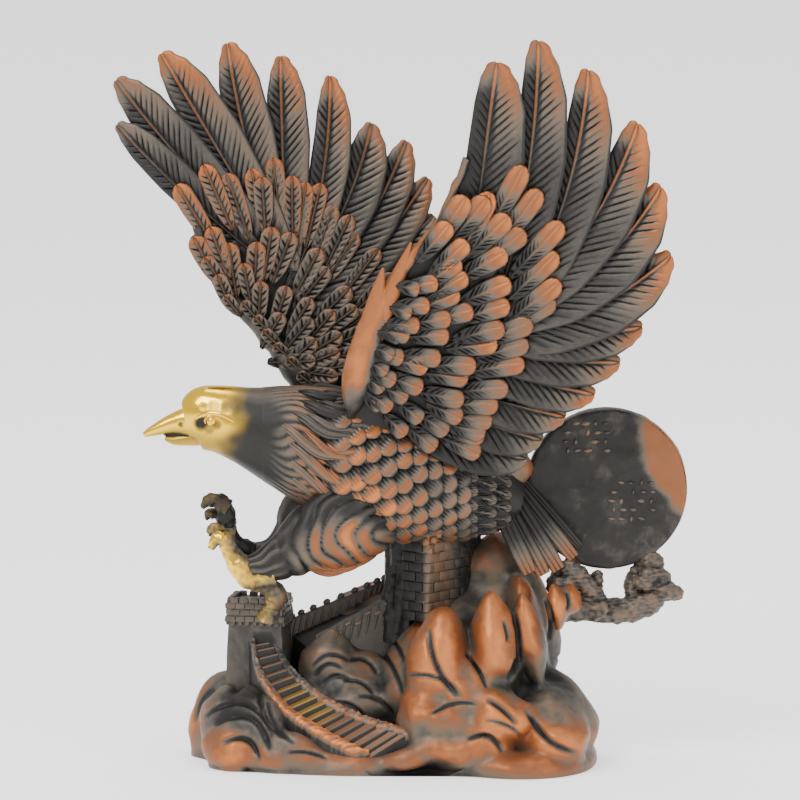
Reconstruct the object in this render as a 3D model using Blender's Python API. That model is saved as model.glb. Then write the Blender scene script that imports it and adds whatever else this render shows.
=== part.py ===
"""Eagle ornament: an eagle cast in one with its rock base, watchtower, stairs, wall, brick tower and sun disc.

Blender 4.5, metres, +Z up. The eagle looks along -X. The origin is the middle of the flat underside.
The free form is drawn on a grid of the front view, and follows HEIGHT. Every body below is a closed shell. They are
fused into one skin, thinned to few facets and cut flat underneath.
"""

from collections import namedtuple
from math import cos, pi, radians, sin

import bmesh
import bpy
from mathutils import Matrix, Vector, noise

# Driving dimensions, in metres.
HEIGHT = 0.330
FEATHER_THICKNESS = 0.0034
WEB_THICKNESS = 0.0042
DISC_DIAMETER = 0.0727
DISC_THICKNESS = 0.0100
BASE_LIP = 0.0040
SKIN_STEP = 0.0011
FACET_COUNT = 9700

# The front drawing: squares to the whole height, seen from a little above.
SQUARES_HIGH = 735
GRID = HEIGHT / SQUARES_HIGH
VIEW_TILT = radians(8)
FRONT = Vector((0, -1, 0))
BACK = Vector((0, 1, 0))

# The eagle's trunk from beak to rump: place, depth, half height and half width, in squares.
TRUNK = (
    (-214, 338, -12, 19, 13),
    (-200, 341, -12, 31, 21),
    (-180, 340, -12, 34, 27),
    (-155, 334, -11, 39, 33),
    (-122, 325, -8, 50, 42),
    (-80, 312, -4, 60, 52),
    (-38, 296, 0, 64, 58),
    (10, 281, 0, 60, 58),
    (56, 271, 2, 48, 48),
    (96, 264, 4, 33, 35),
    (120, 258, 6, 18, 22),
)
BEAK = (
    (-206, 336, -12, 17, 13), (-224, 336, -12, 11, 9), (-240, 331, -12, 7, 6),
    (-251, 327, -12, 4, 4), (-257, 324, -12, 2, 2),
)
LOWER_BEAK = ((-204, 324, -12, 11, 10), (-220, 321, -12, 7, 7), (-234, 320, -12, 4, 5))

# Legs and feet: place, depth, half height and half width.
NEAR_THIGH = (
    (-8, 254, -34, 38, 26), (-48, 238, -40, 42, 28), (-86, 221, -44, 35, 25),
    (-112, 204, -46, 23, 18), (-136, 190, -46, 14, 13),
)
NEAR_TOES = (
    (-130, 184, -46, 12, 12), (-153, 186, -46, 14, 13), (-166, 203, -46, 10, 12),
    (-176, 216, -46, 8, 10), (-186, 213, -46, 5, 6),
)
NEAR_HEEL = ((-146, 180, -46, 11, 11), (-134, 172, -42, 10, 10), (-128, 158, -34, 10, 10), (-128, 144, -28, 9, 9))
FAR_THIGH = (
    (-60, 270, 10, 34, 26), (-92, 246, 6, 29, 22), (-108, 222, 0, 21, 18),
    (-130, 206, -10, 14, 13), (-160, 203, -14, 12, 12),
)
FAR_SHANK = (
    (-150, 205, -14, 12, 12), (-165, 216, -18, 9, 9), (-174, 232, -20, 8, 8),
    (-175, 246, -20, 10, 11), (-178, 256, -20, 8, 9),
)
FAR_TOES = (
    ((-176, 252, -26, 7, 6), (-190, 256, -28, 6, 5), (-195, 253, -28, 3, 3)),
    ((-176, 244, -16, 6, 6), (-188, 243, -14, 5, 5), (-192, 241, -14, 3, 3)),
    ((-172, 228, -22, 7, 7), (-186, 227, -26, 6, 5), (-190, 224, -26, 3, 3)),
)

# Near wing. The arm runs from the shoulder to the wrist; the long feathers are tip, root and half width.
NEAR_SHOULDER = (0, 309)
NEAR_ARM = (
    (-54, 325, 13), (-41, 399, 13), (-30, 440, 12), (-15, 466, 13),
    (8, 496, 14), (39, 531, 12), (57, 570, 9), (69, 594, 6),
)
NEAR_LONG = (
    ((96, 692), (76, 535), 27),
    ((138, 711), (107, 530), 24),
    ((188, 683), (135, 520), 24),
    ((237, 630), (150, 505), 24),
    ((260, 567), (158, 480), 24),
    ((270, 501), (150, 446), 22),
    ((240, 431), (140, 428), 17),
    ((217, 394), (128, 405), 16),
    ((193, 364), (112, 386), 16),
    ((164, 342), (92, 362), 16),
    ((141, 319), (72, 342), 17),
    ((125, 300), (50, 322), 17),
)
# Rows of shorter feathers, each drawn from the wrist down: their tips, their aim in degrees, their length and half
# width at the two ends of the row, how many they are and how proud they stand.
Row = namedtuple("Row", "tips aim length half_width count lift")
NEAR_ROWS = (
    Row(((84, 566), (121, 592), (139, 568), (161, 536), (157, 474), (132, 426), (108, 372), (92, 346), (70, 322)),
        (66, -8), (60, 40), (10, 8), 15, 4),
    Row(((70, 560), (104, 540), (124, 528), (110, 478), (104, 433), (76, 395), (64, 360), (48, 330)),
        (56, -26), (48, 36), (10, 8), 12, 8),
    Row(((67, 518), (67, 485), (72, 450), (50, 425), (28, 393), (24, 372), (14, 349), (3, 326)),
        (45, -38), (42, 32), (9, 8), 11, 12),
    Row(((38, 478), (30, 455), (20, 435), (4, 402), (-4, 379), (-10, 349), (-19, 340)),
        (8, -44), (30, 26), (8, 8), 9, 14),
)

# Far wing, seen from inside, drawn in the same way.
FAR_SHOULDER = (-80, 350)
FAR_ARM = (
    (-60, 330, 28), (-104, 384, 18), (-126, 414, 12), (-152, 443, 11),
    (-178, 469, 10), (-194, 508, 10), (-206, 545, 9), (-214, 569, 7),
)
FAR_LONG = (
    ((-284, 636), (-190, 548), 17),
    ((-284, 681), (-182, 565), 22),
    ((-238, 706), (-155, 565), 23),
    ((-174, 716), (-137, 565), 23),
    ((-121, 703), (-116, 560), 20),
    ((-71, 683), (-94, 545), 15),
    ((-28, 636), (-80, 525), 19),
    ((8, 618), (-64, 505), 18),
    ((28, 581), (-52, 485), 17),
    ((36, 545), (-46, 465), 15),
    ((30, 512), (-44, 440), 15),
    ((14, 470), (-46, 410), 15),
)
FAR_ROWS = (
    Row(((-224, 576), (-195, 594), (-160, 588), (-126, 602), (-106, 582), (-80, 575), (-50, 543), (-24, 510), (0, 470)),
        (128, 40), (54, 46), (9, 8), 14, 4),
    Row(((-205, 525), (-190, 532), (-175, 518), (-144, 520), (-128, 532), (-108, 526), (-80, 510), (-52, 474), (-20, 430)),
        (100, 35), (42, 44), (8, 9), 12, 8),
    Row(((-183, 485), (-157, 496), (-138, 477), (-113, 472), (-88, 462), (-45, 452), (-36, 430)),
        (115, 8), (32, 44), (7, 9), 9, 12),
    Row(((-172, 463), (-155, 456), (-134, 430), (-89, 441), (-86, 421), (-54, 408)),
        (128, -5), (22, 46), (6, 9), 8, 14),
)

# Tail feathers: tip, root, half width.
TAIL = (
    ((130, 186), (94, 262), 9), ((144, 184), (100, 266), 9), ((159, 189), (106, 272), 9),
    ((174, 201), (110, 280), 9), ((180, 206), (112, 288), 7),
)

# Base outline in plan, from the left end round the front.
BASE_PLAN = (
    (-210, 44), (-200, 10), (-162, -46), (-112, -94), (-45, -112), (0, -98), (32, -90), (72, -114),
    (112, -130), (155, -122), (188, -82), (200, -8), (188, 60), (140, 104), (40, 118), (-80, 116), (-168, 92),
)
BASE_RISE = 14
PLAN_POINTS = 48

# Rock lobes: place, depth, half length, half depth, half height, lean in degrees.
ROCKS = (
    (-120, 40, 30, 84, 78, 50, 0),
    (-168, 30, 22, 46, 54, 62, 0),
    (-176, 40, -20, 24, 34, 40, 10),
    (-164, 14, -66, 26, 30, 28, 0),
    (-118, 6, -68, 44, 34, 26, 0),
    (-72, -4, -84, 46, 24, 18, 0),
    (-50, 46, 22, 80, 72, 72, 0),
    (60, 70, 10, 88, 92, 92, 0),
    (144, 36, -8, 57, 88, 52, 0),
    (128, 126, 6, 19, 50, 62, -10),
    (100, 120, 40, 62, 50, 92, 0),
    (-20, 100, 60, 90, 44, 74, 0),
    (38, 94, -58, 33, 36, 66, 4),
    (95, 112, -52, 25, 36, 58, -4),
    (130, 122, -38, 14, 28, 50, -12),
    (156, 152, -24, 12, 26, 28, -10),
    (174, 160, -14, 10, 20, 18, -20),
    (96, 190, 34, 34, 26, 40, 0),
    (98, 44, -82, 40, 34, 30, 8),
    (20, 46, -76, 26, 30, 30, 0),
    (154, 24, -72, 40, 36, 26, 0),
    (60, 14, -92, 52, 26, 22, 0),
    (108, 290, 12, 26, 24, 26, 0),
)
BRANCH = (
    (160, 150, 4, 13, 18), (192, 150, 8, 13, 16), (222, 147, 12, 13, 16),
    (244, 156, 16, 15, 18), (262, 168, 18, 14, 15), (284, 162, 18, 4, 5),
)
TWIG = ((164, 196, 0, 11, 10), (184, 178, 4, 10, 10), (198, 158, 8, 10, 10), (204, 146, 8, 8, 9))
LEAVES = (
    (250, 190, 20, 17, 12, 18, 0), (248, 181, 4, 15, 9, 8, -20), (268, 170, 2, 14, 9, 7, 10), (196, 150, -6, 13, 9, 11, 0),
    (264, 182, 8, 12, 8, 8, 0), (162, 178, 6, 16, 14, 16, 30), (233, 175, 18, 10, 12, 20, 0), (194, 172, 14, 9, 12, 18, 20),
)


def at(x, z, depth):
    """The point that the front drawing shows at x, z, so far behind its sheet."""
    up = (z - depth * sin(VIEW_TILT)) / cos(VIEW_TILT)
    return Vector((x, depth, up)) * GRID


def blend(low, high, share):
    return low + (high - low) * share


def along(points, share):
    """A place on the smooth line through the points, share running from 0 to 1."""
    spans = len(points) - 1
    step = min(int(share * spans), spans - 1)
    t = share * spans - step
    before, start, end, after = (
        Vector(points[min(max(step + k, 0), spans)]) for k in (-1, 0, 1, 2)
    )
    return 0.5 * (
        2 * start
        + (end - before) * t
        + (2 * before - 5 * start + 4 * end - after) * t * t
        + (3 * start - before - 3 * end + after) * t * t * t
    )


def loft(form, rings):
    """One closed shell through rings of points, with flat ends."""
    rows = [[form.verts.new(point) for point in ring] for ring in rings]
    sides = len(rows[0])
    for low, high in zip(rows, rows[1:]):
        for i in range(sides):
            j = (i + 1) % sides
            form.faces.new((low[i], low[j], high[j], high[i]))
    form.faces.new(rows[0][::-1])
    form.faces.new(rows[-1])


def tube(form, stations, steps=3, sides=12):
    """A limb with oval sections along a smooth line. Each station is x, z, depth, half height, half width."""
    count = (len(stations) - 1) * steps + 1
    line = [along(stations, i / (count - 1)) for i in range(count)]
    centres = [at(*place[:3]) for place in line]
    rings = []
    for i, centre in enumerate(centres):
        run = centres[min(i + 1, count - 1)] - centres[max(i - 1, 0)]
        side = (BACK - run * (BACK.dot(run) / run.length_squared)).normalized()
        up = side.cross(run).normalized()
        high, wide = line[i][3] * GRID, line[i][4] * GRID
        turns = [2 * pi * k / sides for k in range(sides)]
        rings.append([centre + up * cos(a) * high + side * sin(a) * wide for a in turns])
    loft(form, rings)


# Feather outlines: share of the length, then the half width on the leading and on the trailing side.
EVEN_VANE = (
    (0.0, 0.62, 0.62), (0.3, 0.86, 0.86), (0.6, 1.0, 1.0), (0.82, 0.92, 0.92), (0.94, 0.62, 0.62), (1.0, 0.22, 0.22),
)
NEAR_VANE = (
    (0.0, 0.6, 0.9), (0.3, 0.68, 1.35), (0.62, 0.64, 1.5), (0.84, 0.6, 1.25), (0.95, 0.54, 0.85), (1.0, 0.36, 0.42),
)
FAR_VANE = (
    (0.0, 0.6, 0.9), (0.3, 0.66, 1.35), (0.62, 0.56, 1.5), (0.84, 0.44, 1.15), (0.95, 0.32, 0.75), (1.0, 0.18, 0.36),
)


def blade(form, root, tip, facing, half_width, thickness=FEATHER_THICKNESS, tilt=0.0, vane=EVEN_VANE):
    """One feather: a long leaf, thickest along its shaft, with a rounded tip."""
    run = (tip - root).normalized()
    facing = (facing - run * facing.dot(run)).normalized()
    side = run.cross(facing).normalized()
    turn = Matrix.Rotation(tilt, 3, run)
    side, facing = turn @ side, turn @ facing
    rings = []
    for share, leading, trailing in vane:
        centre = root.lerp(tip, share)
        lead = -side * half_width * leading
        trail = side * half_width * trailing
        rise = facing * thickness * 0.5
        rings.append((
            centre + trail + rise * 0.5,
            centre + trail * 0.45 + rise * 0.9,
            centre + rise * 1.5,
            centre + lead * 0.45 + rise * 0.9,
            centre + lead + rise * 0.5,
            centre + lead - rise * 0.6,
            centre - rise * 1.2,
            centre + trail - rise * 0.6,
        ))
    loft(form, rings)


CRAG_SIZE = 26
CRAG_RISE = 7


def blob(form, x, z, depth, half_length, half_depth, half_height, lean, rounds=3):
    """A rounded lump of rock or leaf, drawn in towards its top."""
    size = Matrix.Diagonal((half_length * GRID, half_depth * GRID, half_height * GRID, 1))
    turn = Matrix.Rotation(radians(lean), 4, "Y")
    place = Matrix.Translation(at(x, z, depth)) @ turn @ size
    made = bmesh.ops.create_icosphere(form, subdivisions=rounds, radius=1)
    for vert in made["verts"]:
        draw_in = 1 - 0.22 * max(0, vert.co.z)
        spot = place @ Vector((vert.co.x * draw_in, vert.co.y * draw_in, vert.co.z))
        swell = noise.noise(spot / (CRAG_SIZE * GRID)) * CRAG_RISE * GRID
        vert.co = spot + (spot - place.translation).normalized() * swell


def block(form, x, low, high, depth, half_length, half_depth, turn=0.0, flare=1.0):
    """A square tower between two heights on the drawing, wider at its foot by flare."""
    foot, head = at(x, low, depth), at(x, high, depth)
    spin = Matrix.Rotation(radians(turn), 3, "Z")
    rings = []
    for centre, grow in ((foot, flare), (head, 1.0)):
        corners = ((-1, -1), (1, -1), (1, 1), (-1, 1))
        reach = [Vector((i * half_length * grow, j * half_depth * grow, 0)) * GRID for i, j in corners]
        rings.append([centre + spin @ r for r in reach])
    loft(form, rings)


def near_depth(x, z):
    """How far the near wing stands in front of the middle sheet."""
    reach = (Vector((x, z)) - Vector(NEAR_SHOULDER)).length
    return -38 - 0.155 * reach


def far_depth(x, z):
    """How far the far wing stands behind the middle sheet."""
    reach = (Vector((x, z)) - Vector(FAR_SHOULDER)).length
    return 30 + 0.165 * reach


FEATHER_TILT = radians(8)
ROOT_LIFT = 0.6
TIP_LIFT = 1.1
WEB_REACH = 0.35


def wing(form, depth_of, arm, long_feathers, rows, vane):
    """A wing: its arm, a web, long feathers from the wrist to the elbow, and rows of shorter ones on both faces."""

    def on_wing(place, lift=0.0):
        return at(place[0], place[1], depth_of(*place)) + FRONT * lift * GRID

    tube(form, [(x, z, depth_of(x, z), r, r * 0.9) for x, z, r in arm])
    bone = [place[:2] for place in arm]
    last = len(long_feathers) - 1
    inner = [on_wing(along(bone, 1 - i / last)) for i in range(last + 1)]
    roots = [on_wing(root) for tip, root, half in long_feathers]
    middles = [on_wing(Vector(root).lerp(Vector(tip), WEB_REACH)) for tip, root, half in long_feathers]
    web(form, inner, middles)
    web(form, roots, middles)
    for tip, root, half in long_feathers:
        blade(form, on_wing(root), on_wing(tip), FRONT, half * GRID, tilt=FEATHER_TILT, vane=vane)
    for row in rows:
        for i in range(row.count):
            share = i / (row.count - 1)
            tip = along(row.tips, share)
            aim = radians(blend(*row.aim, share))
            root = tip - Vector((cos(aim), sin(aim))) * blend(*row.length, share)
            half = blend(*row.half_width, share) * GRID
            for lift, facing in ((row.lift, FRONT), (-row.lift, BACK)):
                blade(form, on_wing(root, lift * ROOT_LIFT), on_wing(tip, lift * TIP_LIFT), facing, half)


def web(form, inner, outer):
    """A sheet of metal between two lines with as many points."""
    half = BACK * WEB_THICKNESS * 0.5
    rings = []
    for a, b in zip(inner, outer):
        mid = a.lerp(b, 0.5)
        rings.append((a - half, mid - half, b - half, b + half, mid + half, a + half))
    loft(form, rings)


# Rings of scales and scales in a ring to a side, the turns of the lowest and highest scale in degrees, and a scale's
# half width and the rise of its lip, in squares.
SCALE_RINGS = 7
SCALE_ROWS = 7
SCALE_LOWEST = -62
SCALE_HIGHEST = 50
SCALE_HALF_WIDTH = 13
SCALE_RISE = 4


def trunk_scales(form):
    """Rows of round scales over the breast and flanks, each lying on the one behind it."""
    for ring in range(SCALE_RINGS):
        share = blend(0.46, 0.86, ring / (SCALE_RINGS - 1))
        for side in (-1, 1):
            for row in range(SCALE_ROWS):
                turn = radians(blend(SCALE_LOWEST, SCALE_HIGHEST, (row + 0.5 * (ring % 2)) / SCALE_ROWS))
                root = on_trunk(share - 0.05, turn, side)
                tip = on_trunk(share + 0.05, turn, side, SCALE_RISE)
                facing = Vector((0, side * cos(turn), sin(turn)))
                blade(form, root, tip, facing, SCALE_HALF_WIDTH * GRID)


def on_trunk(share, turn, side, lift=0):
    """A point on the trunk's skin, turned up or down from its widest line."""
    x, z, depth, high, wide = along(TRUNK, share)
    centre = at(x, z, depth)
    return centre + Vector((0, side * cos(turn) * (wide + lift), sin(turn) * (high + lift))) * GRID


# Where the rings of neck locks start on the trunk, how many locks a ring has to a side, and the turns of its lowest and
# highest lock, in degrees.
NECK_STARTS = (0.30, 0.38)
NECK_LOCKS = 6
NECK_LOWEST = -70
NECK_HIGHEST = 66


def neck_locks(form):
    """Long wavy locks from the neck over the shoulders."""
    for ring, start in enumerate(NECK_STARTS):
        for side in (-1, 1):
            for row in range(NECK_LOCKS):
                turn = radians(blend(NECK_LOWEST, NECK_HIGHEST, (row + 0.5 * ring) / NECK_LOCKS))
                stations = []
                for step in range(5):
                    wave = radians(9) * sin(step * 1.7 + row)
                    point = on_trunk(start + step * 0.035, turn + wave, side, 1)
                    stations.append((point, (6, 8, 8, 6, 2)[step] * GRID))
                lock(form, stations, side)


def lock(form, stations, side):
    """One lock of fine feathers, drawn along its own points."""
    rings = []
    for i, (point, radius) in enumerate(stations):
        run = stations[min(i + 1, 4)][0] - stations[max(i - 1, 0)][0]
        out = Vector((0, side, 0))
        out = (out - run * (out.dot(run) / run.length_squared)).normalized()
        across = run.cross(out).normalized()
        rings.append([point + out * cos(a) * radius * 0.8 + across * sin(a) * radius for a in
                      (0, pi / 3, 2 * pi / 3, pi, 4 * pi / 3, 5 * pi / 3)])
    loft(form, rings)


THIGH_LOCKS = 6
THIGH_MIDDLE = (-52, 236, -42)
THIGH_REACH = (62, 46, 30)
# The turns at which a thigh lock begins and ends, in degrees, and its steps; then the reach of the first bow, how much
# wider each next one is, how much longer than high they are, and where their common middle lies from the thigh's.
BOW_START = 150
BOW_END = 285
BOW_STEPS = 4
BOW_FIRST = 13
BOW_WIDER = 7
BOW_LONGER = 1.25
BOW_RIGHT = 14
BOW_UP = 8


def thigh_locks(form):
    """Locks that sweep round the near thigh in widening bows."""
    x_mid, z_mid, depth_mid = THIGH_MIDDLE
    for i in range(THIGH_LOCKS):
        bow = BOW_FIRST + BOW_WIDER * i
        stations = []
        for step in range(BOW_STEPS + 1):
            turn = radians(blend(BOW_START, BOW_END, step / BOW_STEPS))
            x = x_mid + BOW_RIGHT + bow * cos(turn) * BOW_LONGER
            z = z_mid + BOW_UP + bow * sin(turn)
            spread = ((x - x_mid) / THIGH_REACH[0]) ** 2 + ((z - z_mid) / THIGH_REACH[1]) ** 2
            front = depth_mid - THIGH_REACH[2] * max(0.05, 1 - spread) ** 0.5
            stations.append((at(x, z, front), (3, 4.5, 5, 4.5, 2)[step] * GRID))
        lock(form, stations, -1)


# The brow ridge over each eye: its middle on the drawing, the head's own depth, how far out it lies, its half length,
# half depth, half height and lean in degrees.
BROW_PLACE = (-196, 345)
HEAD_DEPTH = -12
BROW_OUT = 19
BROW_SIZE = (13, 5, 5)
BROW_LEAN = -10


def eagle(form):
    """The whole bird: trunk, beak, brows, scales, locks, wings, legs and tail."""
    tube(form, TRUNK, sides=16)
    tube(form, BEAK)
    tube(form, LOWER_BEAK)
    for side in (-1, 1):
        blob(form, *BROW_PLACE, HEAD_DEPTH + side * BROW_OUT, *BROW_SIZE, BROW_LEAN, 2)
    trunk_scales(form)
    neck_locks(form)
    wing(form, near_depth, NEAR_ARM, NEAR_LONG, NEAR_ROWS, NEAR_VANE)
    wing(form, far_depth, FAR_ARM, FAR_LONG, FAR_ROWS, FAR_VANE)
    for limb in (NEAR_THIGH, NEAR_TOES, NEAR_HEEL, FAR_THIGH, FAR_SHANK) + FAR_TOES:
        tube(form, limb)
    thigh_locks(form)
    for i, (tip, root, half) in enumerate(TAIL):
        blade(form, at(*root, -2 + 3 * i), at(*tip, -20 + 4 * i), FRONT, half * GRID, FEATHER_THICKNESS * 1.8)


def base(form):
    """The foot of the rock: the plan outline, drawn in towards its top. It runs below the table and is cut later."""
    plan = [along(BASE_PLAN + BASE_PLAN[:1], i / PLAN_POINTS) for i in range(PLAN_POINTS)]
    rings = []
    for up, grow in ((-BASE_LIP, 0.97), (BASE_LIP, 1.0), (BASE_RISE * GRID, 0.9)):
        rings.append([Vector((x * grow * GRID, y * grow * GRID, up)) for x, y in plan])
    loft(form, rings)
    for rock in ROCKS:
        blob(form, *rock)


TREADS = 18
STAIR_LEFT = ((-151, 113, -26), (-143, 78, -46), (-118, 44, -70), (-82, 19, -90), (-44, -1, -104))
STAIR_RIGHT = ((-125, 116, -20), (-107, 86, -34), (-73, 57, -54), (-29, 37, -74), (19, 23, -90))
PARAPET_THICK = 0.22
PARAPET_RISE = 8
STEP_FACE = 0.98


def stairs(form):
    """The flight of steps between two parapets, on a solid bank, falling from the door to the front."""
    lift = Vector((0, 0, PARAPET_RISE * GRID))
    rings = []
    for i in range(TREADS):
        level = [at(*along(side, i / TREADS)).z for side in (STAIR_LEFT, STAIR_RIGHT)]
        for share in (i / TREADS, (i + STEP_FACE) / TREADS):
            left, right = (at(*along(side, share)) for side in (STAIR_LEFT, STAIR_RIGHT))
            left_in, right_in = left.lerp(right, PARAPET_THICK), right.lerp(left, PARAPET_THICK)
            left_tread = Vector((left_in.x, left_in.y, level[0]))
            right_tread = Vector((right_in.x, right_in.y, level[1]))
            left_foot = Vector((left.x, left.y, -BASE_LIP))
            right_foot = Vector((right.x, right.y, -BASE_LIP))
            rings.append((
                left_foot, left + lift, left_in + lift, left_tread,
                right_tread, right_in + lift, right + lift, right_foot,
            ))
    loft(form, rings)


# The watchtower at the head of the stairs: its middle, depth, the heights of its foot, brick band and top, its half
# length and half depth, and its turn in degrees.
TOWER_X = -141
TOWER_DEPTH = 4
TOWER_FOOT = 40
TOWER_BAND = 140
TOWER_TOP = 159
TOWER_LENGTH = 27
TOWER_WIDTH = 25
TOWER_FLARE = 1.16
TOWER_TURN = -10
BAND_PROUD = 2
TEETH = 4
TOOTH = 5


def watchtower(form):
    """A square tower with a proud brick band and teeth along its top."""
    block(form, TOWER_X, TOWER_FOOT, TOWER_BAND + TOOTH, TOWER_DEPTH, TOWER_LENGTH, TOWER_WIDTH, TOWER_TURN, TOWER_FLARE)
    band_length, band_width = TOWER_LENGTH + BAND_PROUD, TOWER_WIDTH + BAND_PROUD
    block(form, TOWER_X, TOWER_BAND, TOWER_TOP, TOWER_DEPTH, band_length, band_width, TOWER_TURN)
    pitch = 2 * band_length / TEETH
    for i in range(TEETH):
        x = TOWER_X + (i - (TEETH - 1) / 2) * pitch
        for side in (-1, 1):
            depth = TOWER_DEPTH + side * (band_width - TOOTH)
            foot = TOWER_TOP + side * TOOTH / 2
            block(form, x, foot - TOOTH, foot + TOOTH, depth, TOOTH, TOOTH, TOWER_TURN)


WALL_REAR = ((-112, 138, 30), (-23, 175, 52), (14, 191, 60))
WALL_FRONT = ((-84, 124, -2), (6, 171, 16), (20, 178, 20))
MERLONS = 13
MERLON = (3.4, 5.5)
PARAPET_HALF = 5
PARAPET_DROP = 75
WALK_DROP = 22


def wall(form):
    """The walkway between two parapets, climbing to the right."""
    count = 12
    half = BACK * PARAPET_HALF * GRID
    drop = Vector((0, 0, PARAPET_DROP * GRID))
    for line in (WALL_REAR, WALL_FRONT):
        spots = [at(*along(line, i / count)) for i in range(count + 1)]
        rings = [(p - half, p + half, p + half - drop, p - half - drop) for p in spots]
        loft(form, rings)
    for i in range(MERLONS):
        x, z, depth = along(WALL_REAR, (i + 0.5) / MERLONS)
        block(form, x, z - MERLON[1], z + MERLON[1], depth, MERLON[0], PARAPET_HALF)
    rear = [at(*along(WALL_REAR, i / count)) for i in range(count + 1)]
    front = [at(*along(WALL_FRONT, i / count)) for i in range(count + 1)]
    walk = Vector((0, 0, WALK_DROP * GRID))
    loft(form, [(a - walk, b - walk * 0.6, b - drop, a - drop) for a, b in zip(front, rear)])


# The brick tower: its middle, depth, turn in degrees, half length and half depth, foot and courses; then the dark
# pier behind its corner.
BRICK_X = 42
BRICK_Y = 8
BRICK_TURN = 51
BRICK_LENGTH = 42
BRICK_DEPTH = 17
BRICK_FOOT = 142
COURSES = 9
COURSE_RISE = 10
COURSE_DRAW = 0.985
PIER = (-1, 130, 232, 22, 18, 22, 8, 1.1)


def brick_tower(form):
    """The square tower under the breast, standing corner on, with its courses cut as shallow steps."""
    for course in range(COURSES):
        low = BRICK_FOOT + course * COURSE_RISE
        draw = COURSE_DRAW if course % 2 else 1.0
        block(form, BRICK_X, low, low + COURSE_RISE + 1, BRICK_Y, BRICK_LENGTH * draw, BRICK_DEPTH * draw, BRICK_TURN)
    block(form, *PIER)


DISC_SEAT = (207, 190.8, 24)
DISC_SIDES = 48


def disc(form):
    """The sun disc behind the tail, standing on its branch and leaves."""
    centre = at(*DISC_SEAT) + Vector((0, 0, DISC_DIAMETER / 2))
    turn = Matrix.Rotation(radians(90), 4, "X")
    place = Matrix.Translation(centre) @ turn
    bmesh.ops.create_cone(
        form, cap_ends=True, segments=DISC_SIDES, radius1=DISC_DIAMETER / 2, radius2=DISC_DIAMETER / 2,
        depth=DISC_THICKNESS, matrix=place,
    )
    tube(form, BRANCH)
    tube(form, TWIG)
    for leaf in LEAVES:
        blob(form, *leaf, rounds=2)


def fused(form):
    """One skin over all the shells, thinned and cut flat at the table."""
    bmesh.ops.recalc_face_normals(form, faces=form.faces)
    mesh = bpy.data.meshes.new("eagle_ornament")
    form.to_mesh(mesh)
    form.free()
    ornament = bpy.data.objects.new("eagle_ornament", mesh)
    bpy.context.scene.collection.objects.link(ornament)
    skin = ornament.modifiers.new("skin", "REMESH")
    skin.mode = "VOXEL"
    skin.voxel_size = SKIN_STEP
    cut = applied(ornament)
    thin = ornament.modifiers.new("thin", "DECIMATE")
    thin.ratio = FACET_COUNT / (2 * len(cut.polygons))
    final = applied(ornament)
    tidy(final)
    return ornament


def applied(ornament):
    """The object's mesh as its modifiers give it, put in place of the old one."""
    graph = bpy.context.evaluated_depsgraph_get()
    mesh = bpy.data.meshes.new_from_object(ornament.evaluated_get(graph))
    ornament.modifiers.clear()
    ornament.data = mesh
    return mesh


def largest_body(form):
    """The points of the body that has the most of them."""
    seen, largest = set(), set()
    for start in form.verts:
        if start in seen:
            continue
        group, front = {start}, [start]
        while front:
            here = front.pop()
            near = {e.other_vert(here) for e in here.link_edges} - group
            group |= near
            front.extend(near)
        seen |= group
        largest = max(largest, group, key=len)
    return largest


def tidy(mesh):
    """Keeps the one large body and gives it a flat underside at the table."""
    form = bmesh.new()
    form.from_mesh(mesh)
    body = largest_body(form)
    bmesh.ops.delete(form, geom=[v for v in form.verts if v not in body], context="VERTS")
    bmesh.ops.triangulate(form, faces=form.faces)
    whole = form.verts[:] + form.edges[:] + form.faces[:]
    bmesh.ops.bisect_plane(form, geom=whole, plane_co=(0, 0, 0), plane_no=(0, 0, 1), clear_inner=True)
    rim = [e for e in form.edges if e.is_boundary]
    bmesh.ops.holes_fill(form, edges=rim, sides=0)
    bmesh.ops.triangulate(form, faces=form.faces)
    bmesh.ops.recalc_face_normals(form, faces=form.faces)
    form.to_mesh(mesh)
    form.free()


def patina():
    """Dark bronze with a copper rub."""
    material = bpy.data.materials.new("patinated_copper")
    material.use_nodes = True
    shader = material.node_tree.nodes["Principled BSDF"]
    shader.inputs["Base Color"].default_value = (0.19, 0.11, 0.075, 1)
    shader.inputs["Metallic"].default_value = 0.55
    shader.inputs["Roughness"].default_value = 0.5
    return material


def main():
    for old in list(bpy.data.objects):
        bpy.data.objects.remove(old, do_unlink=True)
    form = bmesh.new()
    base(form)
    stairs(form)
    watchtower(form)
    wall(form)
    brick_tower(form)
    disc(form)
    eagle(form)
    ornament = fused(form)
    ornament.data.materials.append(patina())


main()
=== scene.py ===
"""The looks of a cast eagle ornament: wings, body, rock base, towers, wall, stairs, disc and branch."""

from collections import namedtuple
from math import cos, pi, radians, sin, sqrt

import bmesh
import bpy
import numpy as np
from bpy.props import FloatProperty, FloatVectorProperty, IntProperty, PointerProperty
from mathutils import Matrix, Vector, noise


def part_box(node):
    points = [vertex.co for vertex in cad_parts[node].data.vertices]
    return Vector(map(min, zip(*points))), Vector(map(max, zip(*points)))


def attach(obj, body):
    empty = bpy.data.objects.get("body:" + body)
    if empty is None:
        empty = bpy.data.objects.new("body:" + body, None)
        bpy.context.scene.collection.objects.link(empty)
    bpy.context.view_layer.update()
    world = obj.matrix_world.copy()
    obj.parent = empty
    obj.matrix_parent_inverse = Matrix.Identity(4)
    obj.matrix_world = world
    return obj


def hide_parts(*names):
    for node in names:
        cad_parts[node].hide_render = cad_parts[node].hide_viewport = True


bl_info = {
    "name": "Cast eagle ornament",
    "version": (1, 0, 0),
    "blender": (4, 5, 0),
    "location": "3D View > Sidebar > Eagle",
    "description": "Models a cast eagle ornament with a patinated copper finish",
    "category": "Object",
}

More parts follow.
